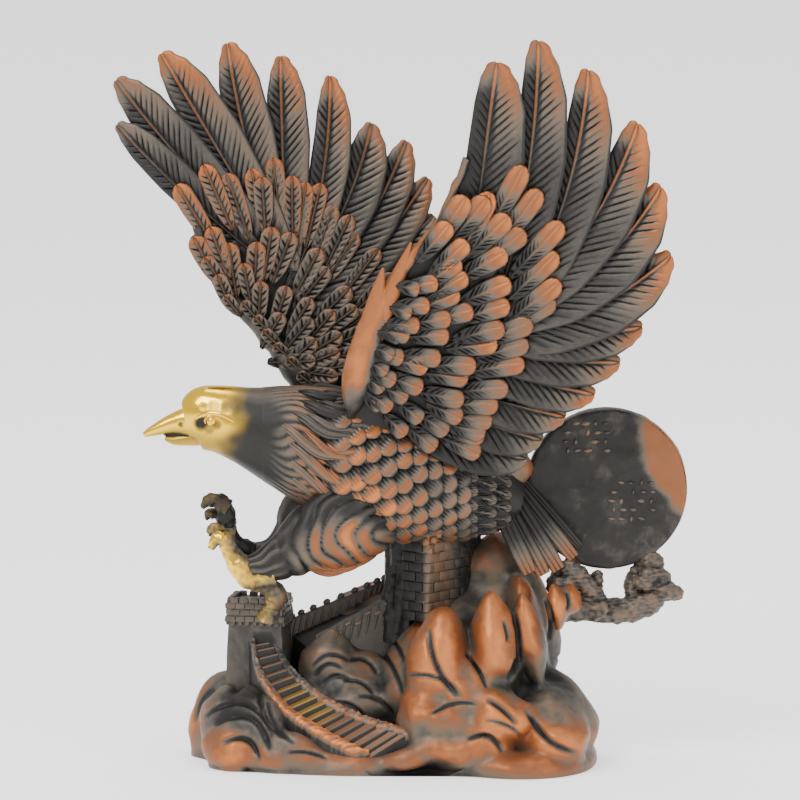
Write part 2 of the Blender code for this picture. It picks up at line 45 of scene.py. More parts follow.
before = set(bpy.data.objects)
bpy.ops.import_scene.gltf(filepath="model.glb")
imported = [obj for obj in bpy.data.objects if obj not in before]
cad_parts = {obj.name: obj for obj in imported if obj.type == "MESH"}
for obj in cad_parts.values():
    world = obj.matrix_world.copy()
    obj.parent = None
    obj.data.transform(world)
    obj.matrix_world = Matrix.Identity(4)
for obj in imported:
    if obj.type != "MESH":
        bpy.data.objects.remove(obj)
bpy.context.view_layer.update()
NODE = "eagle_ornament"
LOW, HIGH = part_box(NODE)

# The front drawing: a grid of squares over the height of the solid, seen from a little above.
SQUARES_HIGH = 733.6
GRID = (HIGH[2] - LOW[2]) / SQUARES_HIGH
VIEW_TILT = radians(8)
FRONT = Vector((0, -1, 0))
BACK = Vector((0, 1, 0))

# The eagle's trunk from beak to rump: place, depth, half height and half width, in squares.
TRUNK = (
    (-214, 338, -12, 19, 13),
    (-200, 341, -12, 31, 21),
    (-180, 340, -12, 34, 27),
    (-155, 334, -11, 39, 33),
    (-122, 325, -8, 50, 42),
    (-80, 312, -4, 60, 52),
    (-38, 296, 0, 64, 58),
    (10, 281, 0, 60, 58),
    (56, 271, 2, 48, 48),
    (96, 264, 4, 33, 35),
    (120, 258, 6, 18, 22),
)
HEAD_END = 4
BEAK = (
    (-204, 337, -12, 18, 14), (-216, 337, -12, 14, 11), (-228, 335, -12, 10, 8),
    (-240, 331, -12, 7, 6), (-250, 327, -12, 4.5, 4), (-256, 324, -12, 2.4, 2.2),
)
LOWER_BEAK = (
    (-200, 322, -12, 9, 10), (-214, 320, -12, 7, 7.5), (-226, 319, -12, 5, 6), (-235, 321, -12, 2.4, 4),
)

# Legs and feet.
NEAR_THIGH = (
    (-12, 252, -18, 32, 18), (-46, 238, -38, 42, 28), (-86, 221, -44, 35, 25),
    (-112, 205, -46, 24, 19), (-132, 195, -46, 18, 15), (-148, 190, -46, 14, 13),
)
NEAR_TOES = (
    (-126, 186, -46, 13, 12), (-146, 182, -46, 14, 13), (-158, 192, -46, 12, 12),
    (-168, 206, -46, 9.5, 10), (-174, 218, -47, 9, 9), (-182, 220, -48, 7.5, 8),
    (-187, 214, -48, 5, 5.5), (-188, 210, -48, 2.4, 3),
)
NEAR_HEEL = (
    (-146, 180, -46, 11, 11), (-134, 174, -42, 10, 10), (-124, 166, -36, 10, 10),
    (-126, 154, -30, 9, 9), (-130, 146, -26, 10, 10), (-132, 140, -24, 11, 12),
)
FAR_THIGH = (
    (-60, 270, 10, 34, 26), (-92, 246, 6, 29, 22), (-108, 222, 0, 21, 18),
    (-130, 206, -10, 14, 13), (-160, 203, -14, 12, 12),
)
FAR_SHANK = (
    (-150, 205, -14, 12, 12), (-165, 216, -18, 10, 10), (-173, 230, -20, 9, 9),
    (-174, 244, -20, 10, 11), (-178, 256, -20, 9, 9), (-183, 262, -21, 5, 6),
)
FAR_TOES = (
    ((-172, 252, -26, 8, 7), (-184, 259, -28, 7, 6), (-193, 257, -28, 5, 5), (-198, 251, -28, 2, 2)),
    ((-172, 241, -16, 7, 7), (-184, 245, -14, 6, 6), (-191, 244, -14, 4.5, 4.5), (-194, 239, -14, 2, 2)),
    ((-168, 226, -22, 8, 8), (-180, 230, -26, 7, 7), (-188, 229, -26, 5, 5), (-191, 223, -26, 2, 2)),
)

# Wings. An arm runs from the shoulder to the wrist. A long feather is tip, root, half width, copper, bend.
NEAR_SHOULDER = (0, 309)
NEAR_ARM = (
    (-54, 328, 3), (-47, 352, 14), (-41, 382, 17), (-34, 410, 16), (-24, 440, 13), (-10, 466, 10),
    (8, 496, 7), (37, 531, 5), (55, 570, 4.5), (66, 598, 3.5),
)
PRONGS = (
    ((-38, 396, 8), (-30, 430, 11), (-22, 464, 8), (-17, 490, 1.2)),
    ((-28, 412, 8), (-14, 452, 10), (0, 486, 7), (11, 515, 1.2)),
)
NEAR_LONG = (
    ((96, 693), (76, 535), 27, 0.86, 0.0),
    ((138, 714), (107, 530), 24, 0.85, 0.04),
    ((188, 685), (135, 520), 24, 0.95, 0.06),
    ((237, 632), (150, 505), 25, 1.0, 0.07),
    ((260, 569), (158, 480), 25, 1.0, 0.08),
    ((270, 501), (150, 446), 23, 0.95, 0.07),
    ((241, 431), (140, 428), 19, 0.82, 0.04),
    ((219, 396), (128, 405), 18, 0.82, 0.03),
    ((194, 364), (112, 386), 18, 0.85, 0.02),
    ((165, 342), (92, 362), 18, 0.75, 0.02),
    ((142, 319), (72, 342), 18, 0.6, 0.02),
    ((127, 300), (50, 322), 18, 0.5, 0.02),
)
# A row of shorter feathers, drawn from the wrist down: their tips, then at the two ends of the row their aim
# in degrees, length, half width and copper. lift says how proud they stand.
Row = namedtuple("Row", "tips aim length half_width lift copper")
NEAR_ROWS = (
    Row(
        tips=(
            (90, 566), (123, 592), (139, 568), (161, 536), (156, 506), (159, 478), (154, 460), (132, 437),
            (128, 417), (124, 397), (108, 372), (98, 355), (92, 338), (84, 322),
        ),
        aim=(66, -14), length=(84, 52), half_width=(11.5, 10.5), lift=8.5, copper=(0.9, 0.62),
    ),
    Row(
        tips=(
            (66, 562), (87, 561), (108, 543), (124, 528), (106, 508), (110, 478), (109, 456), (104, 433),
            (97, 417), (76, 395), (68, 382), (64, 360), (85, 326), (80, 306),
        ),
        aim=(56, -24), length=(64, 46), half_width=(12, 10), lift=10.5, copper=(0.96, 0.64),
    ),
    Row(
        tips=(
            (50, 536), (67, 518), (60, 500), (67, 485), (59, 468), (73, 450), (51, 443), (49, 425),
            (41, 402), (28, 393), (23, 372), (62, 342), (48, 328), (36, 312),
        ),
        aim=(50, -38), length=(52, 38), half_width=(10.5, 10), lift=12, copper=(0.96, 0.66),
    ),
    Row(
        tips=(
            (38, 478), (30, 455), (20, 435), (10, 425), (4, 402), (-4, 379), (8, 362), (-8, 352),
            (22, 340), (6, 326),
        ),
        aim=(12, -44), length=(38, 30), half_width=(9.5, 9.5), lift=12.5, copper=(0.8, 0.68),
    ),
    Row(
        tips=(
            (20, 470), (12, 446), (2, 422), (-6, 404), (-12, 388), (-16, 370), (-18, 352),
        ),
        aim=(-10, -40), length=(24, 24), half_width=(8.5, 8.5), lift=12.5, copper=(0.7, 0.66),
    ),
)
FAR_SHOULDER = (-80, 350)
FAR_ARM = (
    (-60, 330, 28), (-100, 384, 18), (-124, 414, 11), (-150, 443, 9),
    (-175, 469, 8), (-194, 508, 7), (-206, 545, 6), (-214, 569, 5),
)
FAR_LONG = (
    ((-285, 636), (-190, 548), 17, 0.55, -0.02),
    ((-286, 681), (-182, 565), 22, 0.66, -0.02),
    ((-240, 708), (-155, 565), 23, 0.9, 0.0),
    ((-174, 718), (-137, 565), 22, 0.9, -0.02),
    ((-120, 705), (-116, 560), 20, 0.85, 0.0),
    ((-69, 685), (-94, 545), 18, 0.9, 0.05),
    ((-27, 637), (-80, 525), 22, 0.72, 0.06),
    ((8, 619), (-64, 505), 20, 0.72, 0.05),
    ((29, 582), (-52, 485), 18, 0.72, 0.03),
    ((34, 545), (-46, 465), 16, 0.55, 0.0),
    ((28, 512), (-44, 440), 15, 0.5, 0.0),
    ((12, 470), (-46, 410), 15, 0.5, 0.0),
)
FAR_ROWS = (
    Row(
        tips=(
            (-224, 576), (-197, 596), (-174, 587), (-149, 592), (-127, 603), (-108, 585), (-94, 578),
            (-79, 577), (-66, 555), (-49, 545), (-43, 527), (-21, 511), (-6, 486), (0, 460),
        ),
        aim=(122, 38), length=(74, 60), half_width=(11, 9), lift=4, copper=(1.05, 0.68),
    ),
    Row(
        tips=(
            (-207, 524), (-190, 534), (-172, 518), (-138, 584), (-143, 519), (-128, 534), (-108, 528),
            (-80, 512), (-72, 493), (-50, 473), (-32, 448), (-22, 424),
        ),
        aim=(118, 30), length=(56, 56), half_width=(10.5, 10.5), lift=8, copper=(0.95, 0.64),
    ),
    Row(
        tips=(
            (-196, 504), (-183, 487), (-157, 498), (-139, 480), (-113, 475), (-89, 463), (-66, 450),
            (-43, 454), (-34, 430), (-38, 408),
        ),
        aim=(124, 12), length=(40, 54), half_width=(8.5, 10), lift=11, copper=(0.84, 0.66),
    ),
    Row(
        tips=(
            (-176, 466), (-158, 460), (-146, 445), (-137, 431), (-126, 417), (-113, 403), (-102, 388),
        ),
        aim=(128, 142), length=(28, 24), half_width=(7, 7), lift=13, copper=(0.76, 0.68),
    ),
    Row(
        tips=(
            (-118, 448), (-88, 443), (-84, 422), (-58, 427), (-60, 410), (-50, 396), (-84, 400),
            (-62, 384),
        ),
        aim=(60, -6), length=(42, 50), half_width=(9.5, 9), lift=13, copper=(0.68, 0.68),
    ),
)
TAIL = (
    ((130, 186), (94, 262), 8), ((144, 184), (98, 268), 8), ((159, 189), (104, 276), 8),
    ((174, 201), (108, 284), 7), ((180, 212), (110, 292), 5),
)

# Base outline in plan, from the left end round the front. A rock lobe is place, depth, half length, half
# depth, half height and lean in degrees.
BASE_PLAN = (
    (-210, 44), (-200, 10), (-162, -46), (-112, -94), (-45, -112), (0, -98), (32, -90), (72, -114),
    (112, -130), (155, -122), (188, -82), (200, -8), (188, 60), (140, 104), (40, 118), (-80, 116), (-168, 92),
)
BASE_RISE = 14
PLAN_POINTS = 72
ROCKS = (
    (-120, 40, 30, 84, 78, 50, 0),
    (-168, 30, 22, 46, 54, 62, 0),
    (-176, 40, -20, 24, 34, 40, 10),
    (-164, 12, -66, 26, 28, 26, 0),
    (-166, 14, -52, 36, 30, 34, 0),
    (-118, 6, -68, 44, 34, 26, 0),
    (-72, -4, -84, 46, 24, 18, 0),
    (-50, 46, 22, 80, 72, 72, 0),
    (60, 70, 10, 88, 92, 92, 0),
    (144, 36, -8, 57, 88, 52, 0),
    (128, 126, 6, 19, 50, 62, -10),
    (100, 120, 40, 62, 50, 92, 0),
    (-20, 100, 60, 90, 44, 74, 0),
    (38, 94, -58, 33, 36, 66, 4),
    (95, 112, -52, 25, 36, 58, -4),
    (130, 122, -38, 14, 28, 50, -12),
    (156, 152, -24, 12, 26, 28, -10),
    (174, 160, -14, 10, 20, 18, -20),
    (96, 190, 34, 34, 26, 40, 0),
    (98, 44, -82, 40, 34, 30, 8),
    (20, 46, -76, 26, 30, 30, 0),
    (154, 24, -72, 40, 36, 26, 0),
    (60, 14, -92, 52, 26, 22, 0),
    (108, 290, 12, 26, 24, 26, 0),
    (-152, 48, -42, 26, 22, 28, 0),
    (-134, 34, -62, 28, 22, 28, 0),
    (-108, 12, -84, 30, 18, 20, 0),
    (-70, 92, 0, 34, 30, 40, 0),
    (8, 2, -100, 28, 13, 13, 0),
    (24, 98, -50, 18, 26, 38, 0),
    (56, 38, -82, 38, 30, 28, 0),
    (70, 62, -72, 34, 30, 30, 0),
)
# Creases cut in the rock: start, end, bow to the left of the way, half width and depth, in squares.
CREASES = (
    ((64, 106), (86, 72), 3, 2.2, 5), ((28, 132), (60, 62), -8, 3, 6), ((8, 84), (60, 66), 8, 2.2, 3),
    ((112, 150), (118, 96), 3, 2.6, 6), ((104, 140), (108, 118), 1, 1.8, 4),
    ((116, 102), (108, 80), 2, 2.6, 5), ((86, 62), (116, 36), 3, 2.6, 6), ((30, 46), (76, 56), 6, 2, 3),
    ((126, 54), (176, 8), -10, 3, 6), ((66, 22), (102, 8), 10, 2.4, 5), ((84, 40), (120, 24), 5, 2, 3),
    ((146, 160), (150, 118), 4, 2.6, 5), ((166, 168), (166, 148), 3, 2.2, 4),
    ((154, 104), (186, 62), 6, 2.4, 3), ((-52, 120), (2, 64), 14, 2.4, 3.4),
    ((-88, 92), (-50, 98), 9, 2, 2.6), ((-86, 82), (-56, 90), 8, 2, 2.6),
    ((-78, 74), (-46, 76), 8, 2, 2.6), ((-50, 98), (-24, 84), 8, 2, 2.6),
    ((-58, 78), (-26, 62), 7, 2, 2.6), ((-42, 62), (-8, 44), 7, 2, 2.6), ((-30, 128), (4, 96), 8, 2, 2.6),
    ((-70, 56), (-34, 40), 6, 2, 2.4), ((-178, 16), (-140, 0), 14, 2.6, 5),
    ((-186, 34), (-130, 10), 22, 3, 5), ((-196, 42), (-126, 22), 24, 2.4, 4),
    ((-140, 66), (-116, 22), -6, 2.4, 4), ((-132, 58), (-104, 16), -6, 2, 3),
    ((-186, 70), (-204, 36), -6, 2.4, 3), ((-112, 8), (-72, 2), 3, 2, 3),
)
BRANCH = (
    (160, 150, 4, 13, 18), (192, 150, 8, 13, 16), (222, 147, 12, 13, 16),
    (244, 156, 16, 15, 18), (262, 168, 18, 14, 15), (284, 162, 18, 4, 5),
)
TWIG = ((164, 196, 0, 11, 10), (184, 178, 4, 10, 10), (198, 158, 8, 10, 10), (204, 146, 8, 8, 9))
LEAVES = (
    (250, 190, 20, 17, 12, 18, 0), (248, 181, 4, 15, 9, 8, -20), (268, 170, 2, 14, 9, 7, 10),
    (196, 150, -6, 13, 9, 11, 0), (264, 182, 8, 12, 8, 8, 0), (162, 178, 6, 16, 14, 16, 30),
    (233, 175, 18, 10, 12, 20, 0), (194, 172, 14, 9, 12, 18, 20),
)


def at(x, z, depth=0.0):
    """The point that the front drawing shows at x, z, so far behind its sheet."""
    up = (z - depth * sin(VIEW_TILT)) / cos(VIEW_TILT)
    return Vector((x, depth, up)) * GRID


def drawn(point):
    """Where the front drawing shows a point, in squares."""
    return point.x / GRID, (point.z * cos(VIEW_TILT) + point.y * sin(VIEW_TILT)) / GRID


def lifted(height):
    """A step straight up, so many squares high."""
    return Vector((0, 0, height * GRID))


def blend(low, high, share):
    """The value a share of the way from low to high."""
    return low + (high - low) * share


def ease(low, high, value):
    """A smooth rise from 0 at low to 1 at high."""
    t = min(max((value - low) / (high - low), 0.0), 1.0)
    return t * t * (3 - 2 * t)


def along(points, share):
    """A place on the smooth line through the points, share running from 0 to 1."""
    spans = len(points) - 1
    step = min(int(share * spans), spans - 1)
    t = share * spans - step
    before, start, end, after = (Vector(points[min(max(step + k, 0), spans)]) for k in (-1, 0, 1, 2))
    return 0.5 * (
        2 * start
        + (end - before) * t
        + (2 * before - 5 * start + 4 * end - after) * t * t
        + (3 * start - before - 3 * end + after) * t * t * t
    )


def smooth_line(points, steps):
    """Points at even shares of the smooth line through some places."""
    return [along(points, i / steps) for i in range(steps + 1)]


def runs(line):
    """For each point of a line: its share of the way, the point, and how the line runs there."""
    last = len(line) - 1
    for i, centre in enumerate(line):
        yield i / last, centre, line[min(i + 1, last)] - line[max(i - 1, 0)]


def turns(sides):
    """Even turns round a ring."""
    return [2 * pi * k / sides for k in range(sides)]


def square_to(way, run):
    """A way turned square to a run."""
    return (way - run * (way.dot(run) / run.length_squared)).normalized()


def linked(name, mesh):
    """A new object in the scene for a mesh, a light or a lens."""
    piece = bpy.data.objects.new(name, mesh)
    bpy.context.scene.collection.objects.link(piece)
    return piece


class Form:
    """A mesh in the making: its points, its faces, and how far each point is rubbed to copper or gilt."""

    def __init__(self):
        self.points, self.faces, self.rub, self.gold = [], [], [], []

    def point(self, place, rub=0.0, gold=0.0):
        """Adds a point and gives its number."""
        self.points.append(place)
        self.rub.append(rub)
        self.gold.append(gold)
        return len(self.points) - 1

    def skin(self, rows):
        """Faces between rings of point numbers, with a pole at each end."""
        for low, high in zip(rows, rows[1:]):
            for i in range(len(low)):
                j = (i + 1) % len(low)
                self.faces.append((low[i], low[j], high[j], high[i]))
        for row, turn in ((rows[0], -1), (rows[-1], 1)):
            middle = sum((self.points[i] for i in row), Vector()) / len(row)
            pole = self.point(middle, self.rub[row[0]], self.gold[row[0]])
            for i in range(len(row)):
                edge = (row[i], row[(i + 1) % len(row)])
                self.faces.append((*edge[::turn], pole))

    def object(self, name):
        """An object of the mesh, with its faces turned outwards."""
        mesh = bpy.data.meshes.new(name)
        mesh.from_pydata([tuple(p) for p in self.points], [], self.faces)
        for word, values in (("rub", self.rub), ("gold", self.gold)):
            layer = mesh.attributes.new(word, "FLOAT", "POINT")
            layer.data.foreach_set("value", values)
        form = bmesh.new()
        form.from_mesh(mesh)
        bmesh.ops.recalc_face_normals(form, faces=form.faces)
        form.to_mesh(mesh)
        form.free()
        return linked(name, mesh)


def alone(*pieces):
    """Selects these objects and nothing else, the first one active."""
    bpy.ops.object.select_all(action="DESELECT")
    for piece in pieces:
        piece.select_set(True)
    bpy.context.view_layer.objects.active = pieces[0]


def finished(piece, angle=50):
    """Shades a piece, gives it the metal and ties it to the frame."""
    alone(piece)
    bpy.ops.object.shade_smooth_by_angle(angle=radians(angle))
    piece.data.materials.clear()
    piece.data.materials.append(metal())
    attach(piece, "root")
    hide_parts(NODE)
    return piece


def applied(piece, kind, **settings):
    """Adds a modifier and applies it."""
    alone(piece)
    modifier = piece.modifiers.new(kind.lower(), kind)
    for key, value in settings.items():
        setattr(modifier, key, value)
    bpy.ops.object.modifier_apply(modifier=modifier.name)


def tube(form, stations, steps=5, sides=20, rub=0.2, gold=0.0, shape=None):
    """A limb with oval sections along a smooth line. Each station is x, z, depth, half height, half width.

    shape may say, for a point, its way out, its share of the length and its turn, how far it is lifted and
    its rub and gold.
    """
    line = smooth_line(stations, (len(stations) - 1) * steps)
    rows = []
    for place, (share, centre, run) in zip(line, runs([at(*place[:3]) for place in line])):
        side = square_to(BACK, run)
        top = side.cross(run).normalized()
        high, wide = place[3] * GRID, place[4] * GRID
        row = []
        for turn in turns(sides):
            out = top * cos(turn) * high + side * sin(turn) * wide
            way = out.normalized()
            lift, worn, gilt = shape(centre + out, way, share, turn) if shape else (0, rub, gold)
            row.append(form.point(centre + out + way * lift * GRID, worn, gilt))
        rows.append(row)
    form.skin(rows)


def strand(form, points, radii, out, rub=0.0, gold=0.0, steps=12, sides=8, crown=0.9, tone=None):
    """A lock of fine feathers along a smooth line.

    crown is its height as a share of its width. tone may say the rub for a share of the length and a turn.
    """
    rows = []
    for share, centre, run in runs(smooth_line(points, steps)):
        lift = square_to(out, run)
        across = run.cross(lift).normalized()
        radius = along([(r, 0) for r in radii], share)[0] * GRID
        row = []
        for turn in turns(sides):
            spot = centre + lift * cos(turn) * radius * crown + across * sin(turn) * radius
            worn = tone(share, turn) if tone else rub * (0.25 + 0.75 * max(cos(turn), 0))
            row.append(form.point(spot, worn, gold))
        rows.append(row)
    form.skin(rows)


def stroke(form, start, end, radii, rub, steps=4, sides=6):
    """A short straight ridge on a face that looks to the front."""
    strand(form, [start, start.lerp(end, 0.5), end], radii, FRONT, rub, steps=steps, sides=sides)


# How one barb and the groove beside it run along the shaft: share of the pitch and depth of the cut.
BARB = ((0.0, 1.0), (0.15, 0.42), (0.5, 0.0), (0.85, 0.3))
# Across a vane, from the shaft to the edge: share of the width, height, cut, and rub.
ACROSS = (
    (0.2, 0.86, 1.0, 0.8), (0.48, 1.02, 1.0, 0.95), (0.74, 1.06, 0.6, 1.0), (0.91, 0.8, 0.0, 0.95),
    (1.0, 0.0, 0.0, 0.12),
)
# The same behind a vane, from the edge back to the shaft.
BEHIND = ((0.7, -0.75, -0.42, 0.5), (0.25, -0.95, -0.35, 0.4))

# How a kind of feather is cut: its outline as share of length and half width before and behind the shaft;
# the pitch, depth and slant of its barbs; its thickness; the shaft's half width and rise; its tilt; where its
# cuts fade out towards the tip; its rub at the root and tip and the shares between which it changes; how much
# painted shade darkens the half before the shaft, tucked behind its neighbour; and how deep a furrow lines
# the shaft.
Cut = namedtuple("Cut", "outline pitch depth slant thickness shaft rise tilt fade rub lead furrow")
LONG_NEAR = Cut(
    outline=(
        (0.0, 0.5, 0.7), (0.3, 0.68, 1.3), (0.62, 0.7, 1.5), (0.84, 0.66, 1.3), (0.95, 0.56, 0.92),
        (1.0, 0.4, 0.56),
    ),
    pitch=9.6, depth=2.1, slant=1.15, thickness=4.4, shaft=2.4, rise=2.2, tilt=radians(-13),
    fade=(0.86, 1.0), rub=(0.3, 0.82, 0.4, 0.96), lead=0.27, furrow=1.0,
)
LONG_FAR = Cut(
    outline=(
        (0.0, 0.5, 0.7), (0.3, 0.8, 1.2), (0.62, 0.86, 1.42), (0.84, 0.76, 1.24), (0.95, 0.56, 0.88),
        (1.0, 0.34, 0.5),
    ),
    pitch=8.6, depth=2.1, slant=1.1, thickness=4.4, shaft=2.2, rise=2.4, tilt=radians(-12),
    fade=(0.86, 1.0), rub=(0.48, 0.84, 0.45, 0.95), lead=0.46, furrow=1.0,
)
COVERT = Cut(
    outline=(
        (0.0, 0.2, 0.2), (0.15, 0.6, 0.6), (0.35, 0.88, 0.88), (0.65, 1.0, 1.0), (0.88, 0.98, 0.98),
        (0.96, 0.8, 0.8), (1.0, 0.5, 0.5),
    ),
    pitch=6.0, depth=2.4, slant=1.4, thickness=5.4, shaft=1.4, rise=0.6, tilt=radians(-8),
    fade=(0.4, 0.74), rub=(0.24, 0.92, 0.2, 0.85), lead=0.86, furrow=0.25,
)
FAR_COVERT = COVERT._replace(
    fade=(0.8, 1.0), rise=1.8, pitch=7.2, slant=1.0, furrow=0.7, rub=(0.62, 0.78, 0.5, 0.95),
)
PLAIN_COVERT = COVERT._replace(pitch=12.0, rub=(0.1, 0.5, 0.3, 0.9), thickness=4.0)
FLANK = Cut(
    outline=(
        (0.0, 0.6, 0.6), (0.3, 0.95, 0.95), (0.7, 1.06, 1.06), (0.88, 0.98, 0.98), (0.96, 0.76, 0.76),
        (1.0, 0.46, 0.46),
    ),
    pitch=7.0, depth=2.4, slant=3.0, thickness=6.0, shaft=0.8, rise=0.0, tilt=0.0,
    fade=(0.85, 1.0), rub=(0.1, 0.7, 0.3, 0.9), lead=1.0, furrow=0.0,
)
# How much the depth of the barbs varies, and how far out the shortest and the longest ones reach.
UNEVEN = 0.9
BARB_REACH = (0.5, 1.0)
# The rounded end of a vane as a share of its length, and the rise of the shaft's underside.
TIP_ROUND = 0.03
UNDER_SHAFT = -1.3
# Halvings made to find where a slanting barb meets the edge.
EDGE_STEPS = 11


def vane_width(outline, share, side):
    """The half width of a vane at a share of its length, rounded off at the tip."""
    last = outline[-1][0]
    if share >= last:
        return outline[-1][side] * sqrt(max(1 - ((share - last) / TIP_ROUND) ** 2, 0))
    for before, after in zip(outline, outline[1:]):
        if share <= after[0]:
            t = (share - before[0]) / (after[0] - before[0])
            t = blend(t, t * t * (3 - 2 * t), 0.35)
            return blend(before[side], after[side], t)
    return outline[-1][side]


def barb_stops(root, barbs):
    """Where the rings of a feather stand, how deep each cuts and how far out: a few for each barb."""
    stops = []
    for b in range(barbs):
        spot = root / GRID * 0.37 + Vector((b * 1.7, 0, 0))
        uneven = min(1 + UNEVEN * noise.noise(spot), 1.2)
        reach = blend(*BARB_REACH, 0.5 + noise.noise(spot * 1.3))
        stops += [((b + step) / barbs, groove * uneven, reach) for step, groove in BARB]
    return stops + [(1.0, 0.0, 1.0), (1.0 + TIP_ROUND * 0.6, 0.0, 1.0)]


def feather(form, root, tip, facing, half, cut, copper=1.0, bend=0.0):
    """One feather with a raised shaft and barbs that slant towards the tip, as a closed shell."""
    run = tip - root
    length = run.length / (1 + TIP_ROUND)
    run.normalize()
    facing = square_to(facing, run)
    side = run.cross(facing).normalized()
    turn = Matrix.Rotation(cut.tilt, 3, run)
    side, facing = turn @ side, turn @ facing
    thick = cut.thickness * GRID * 0.5
    crown = ((0.0, blend(0.98, 0.45, cut.furrow), 0.0, blend(0.95, 0.05, cut.furrow)),) + ACROSS
    rows = []
    for share, groove, reach_out in barb_stops(root, max(4, round(length / (cut.pitch * GRID)))):
        slant = cut.slant * ease(0.0, 0.2, share)
        edges = {way: vane_edge(cut.outline, share, slant, half * GRID, length, way) for way in (1, 2)}
        rub = blend(*cut.rub[:2], ease(*cut.rub[2:], share)) * copper

        def place(way, part, height, cutting, tone):
            """A point of the ring: before (1) or behind (2) the shaft, so far out of the way to the edge."""
            sign = -1 if way == 1 else 1
            stem = min(cut.shaft * GRID, edges[way] * 0.3)
            across = stem + (edges[way] - stem) * part if part is not None else 0.0
            s = min(share + slant * across / length, 1.0 + TIP_ROUND)
            fade = 1 - ease(*cut.fade, s)
            deep = groove * cutting * fade * (1 - ease(reach_out - 0.15, reach_out + 0.15, part or 0))
            lift = height * thick - deep * cut.depth * GRID
            # Painted shade: the half before the shaft, tucked behind its neighbour, is darkened in colour.
            lead = cut.lead if way == 1 and part is not None else 1.0
            shade = tone * rub * (1 - 0.92 * deep) * lead
            if fade < 1:
                shade = blend(shade, rub * max(tone, 0.8), (1 - fade) * 0.8)
            bow = side * (bend * length * 4 * s * (1 - s))
            spot = root + run * (s * length) + side * (sign * across) + facing * lift + bow
            return form.point(spot, shade)

        rise = 1.0 + cut.rise * GRID / thick * (1 - ease(0.86, 1.0, share))
        ring = [(1, *spot) for spot in reversed(crown)]
        ring += [(2, None, rise, 0.0, blend(1.0, 1.25, cut.furrow))]
        ring += [(2, *spot) for spot in crown + BEHIND]
        ring += [(2, None, UNDER_SHAFT, 0.0, 0.7)]
        ring += [(1, *spot) for spot in reversed(BEHIND)]
        rows.append([place(*entry) for entry in ring])
    form.skin(rows)


def vane_edge(outline, share, slant, half, length, way):
    """How far from the shaft a slanting barb meets the vane's edge."""
    low, high = 0.0, 2.0 * half
    for step in range(EDGE_STEPS):
        middle = (low + high) / 2
        s = share + slant * middle / length
        wide = 0.0 if s > 1 + TIP_ROUND else vane_width(outline, s, way) * half
        if middle < wide:
            low = middle
        else:
            high = middle
    return low


def near_depth(x, z):
    """How far the near wing stands in front of the middle sheet."""
    return -38 - 0.155 * (Vector((x, z)) - Vector(NEAR_SHOULDER)).length


def far_depth(x, z):
    """How far the far wing stands behind the middle sheet."""
    return 30 + 0.165 * (Vector((x, z)) - Vector(FAR_SHOULDER)).length


# The web between the feathers: its half thickness, how far it is set back and how far it reaches out. Then
# how far the long feathers reach in past their roots, and how much the shorter ones rise from root to tip.
WEB_HALF = 1.2
WEB_SET_BACK = 2.0
WEB_REACH = 0.12
ROOT_REACH = -0.5
ROOT_LIFT = 0.6
TIP_LIFT = 1.1


def wing(form, depth_of, arm, long_feathers, rows, long_cut, row_cut, arm_rub):
    """A wing: its arm, a web, long feathers from wrist to elbow, and rows of shorter ones on both faces."""

    def on_wing(place, lift=0.0):
        """A place of the drawing on the wing's sheet, lifted so many squares to the front."""
        return at(place[0], place[1], depth_of(*place)) + FRONT * lift * GRID

    def arm_shape(point, out, share, turn):
        """Worn and coppery in front, with painted shade on faces turned right; tapered and dark at the
        shoulder.
        """
        grain = noise.noise(point / (12 * GRID)) * 1.8 + noise.noise(point / (3 * GRID)) * 0.7
        # away: painted shade, less copper on the faces turned to the right.
        away = blend(1.0, 0.3, ease(0.0, 0.8, out.x))
        foot = ease(0.03, 0.26, share + 0.06 * noise.noise(point / (14 * GRID)))
        worn = arm_rub * away * blend(0.12, 1.0, foot) * blend(1.0, 0.6, ease(0.6, 1.0, share))
        return grain - 9 * (1 - ease(0.0, 0.24, share)), worn + 0.06 * grain, 0.0

    tube(form, [(x, z, depth_of(x, z), r, r * 0.9) for x, z, r in arm], 7, 24, shape=arm_shape)
    bone = [place[:2] for place in arm]
    last = len(long_feathers) - 1
    inner = [on_wing(along(bone, 1 - i / last)) for i in range(last + 1)]
    roots = [on_wing(root) for tip, root, *rest in long_feathers]
    middles = [on_wing(Vector(root).lerp(Vector(tip), WEB_REACH)) for tip, root, *rest in long_feathers]
    web(form, inner, middles)
    web(form, roots, middles)
    for tip, root, half, copper, bend in long_feathers:
        start = on_wing(Vector(root).lerp(Vector(tip), ROOT_REACH))
        feather(form, start, on_wing(tip), FRONT, half, long_cut, copper, bend)
    for row in rows:
        short_feathers(form, row, row_cut, on_wing)


def short_feathers(form, row, front_cut, on_wing):
    """One row of shorter feathers on the front of a wing, and plainer ones behind."""
    for i, spot in enumerate(row.tips):
        share = i / (len(row.tips) - 1)
        tip = Vector(spot)
        aim = radians(blend(*row.aim, share) + 5 * noise.noise(Vector((i * 1.7, row.lift, 0))))
        root = tip - Vector((cos(aim), sin(aim))) * blend(*row.length, share)
        half = blend(*row.half_width, share)
        copper = blend(*row.copper, share) * (1 + 0.25 * noise.noise(Vector((i * 2.3, row.lift, 5))))
        proud = row.lift + 0.8 * (i % 2)
        for lift, facing, cut in ((proud, FRONT, front_cut), (-proud, BACK, PLAIN_COVERT)):
            start, end = on_wing(root, lift * ROOT_LIFT), on_wing(tip, lift * TIP_LIFT)
            feather(form, start, end, facing, half, cut, copper)


def web(form, inner, outer, steps=14):
    """A sheet of metal, set back a little, between two lines with as many points."""
    half = BACK * WEB_HALF * GRID
    set_back = BACK * WEB_SET_BACK * GRID
    rows = []
    for start, end in zip(inner, outer):
        front = [(start + set_back).lerp(end + set_back, k / steps) for k in range(steps + 1)]
        ring = [p - half for p in front] + [p + half for p in reversed(front)]
        rows.append([form.point(p, 0.08) for p in ring])
    form.skin(rows)


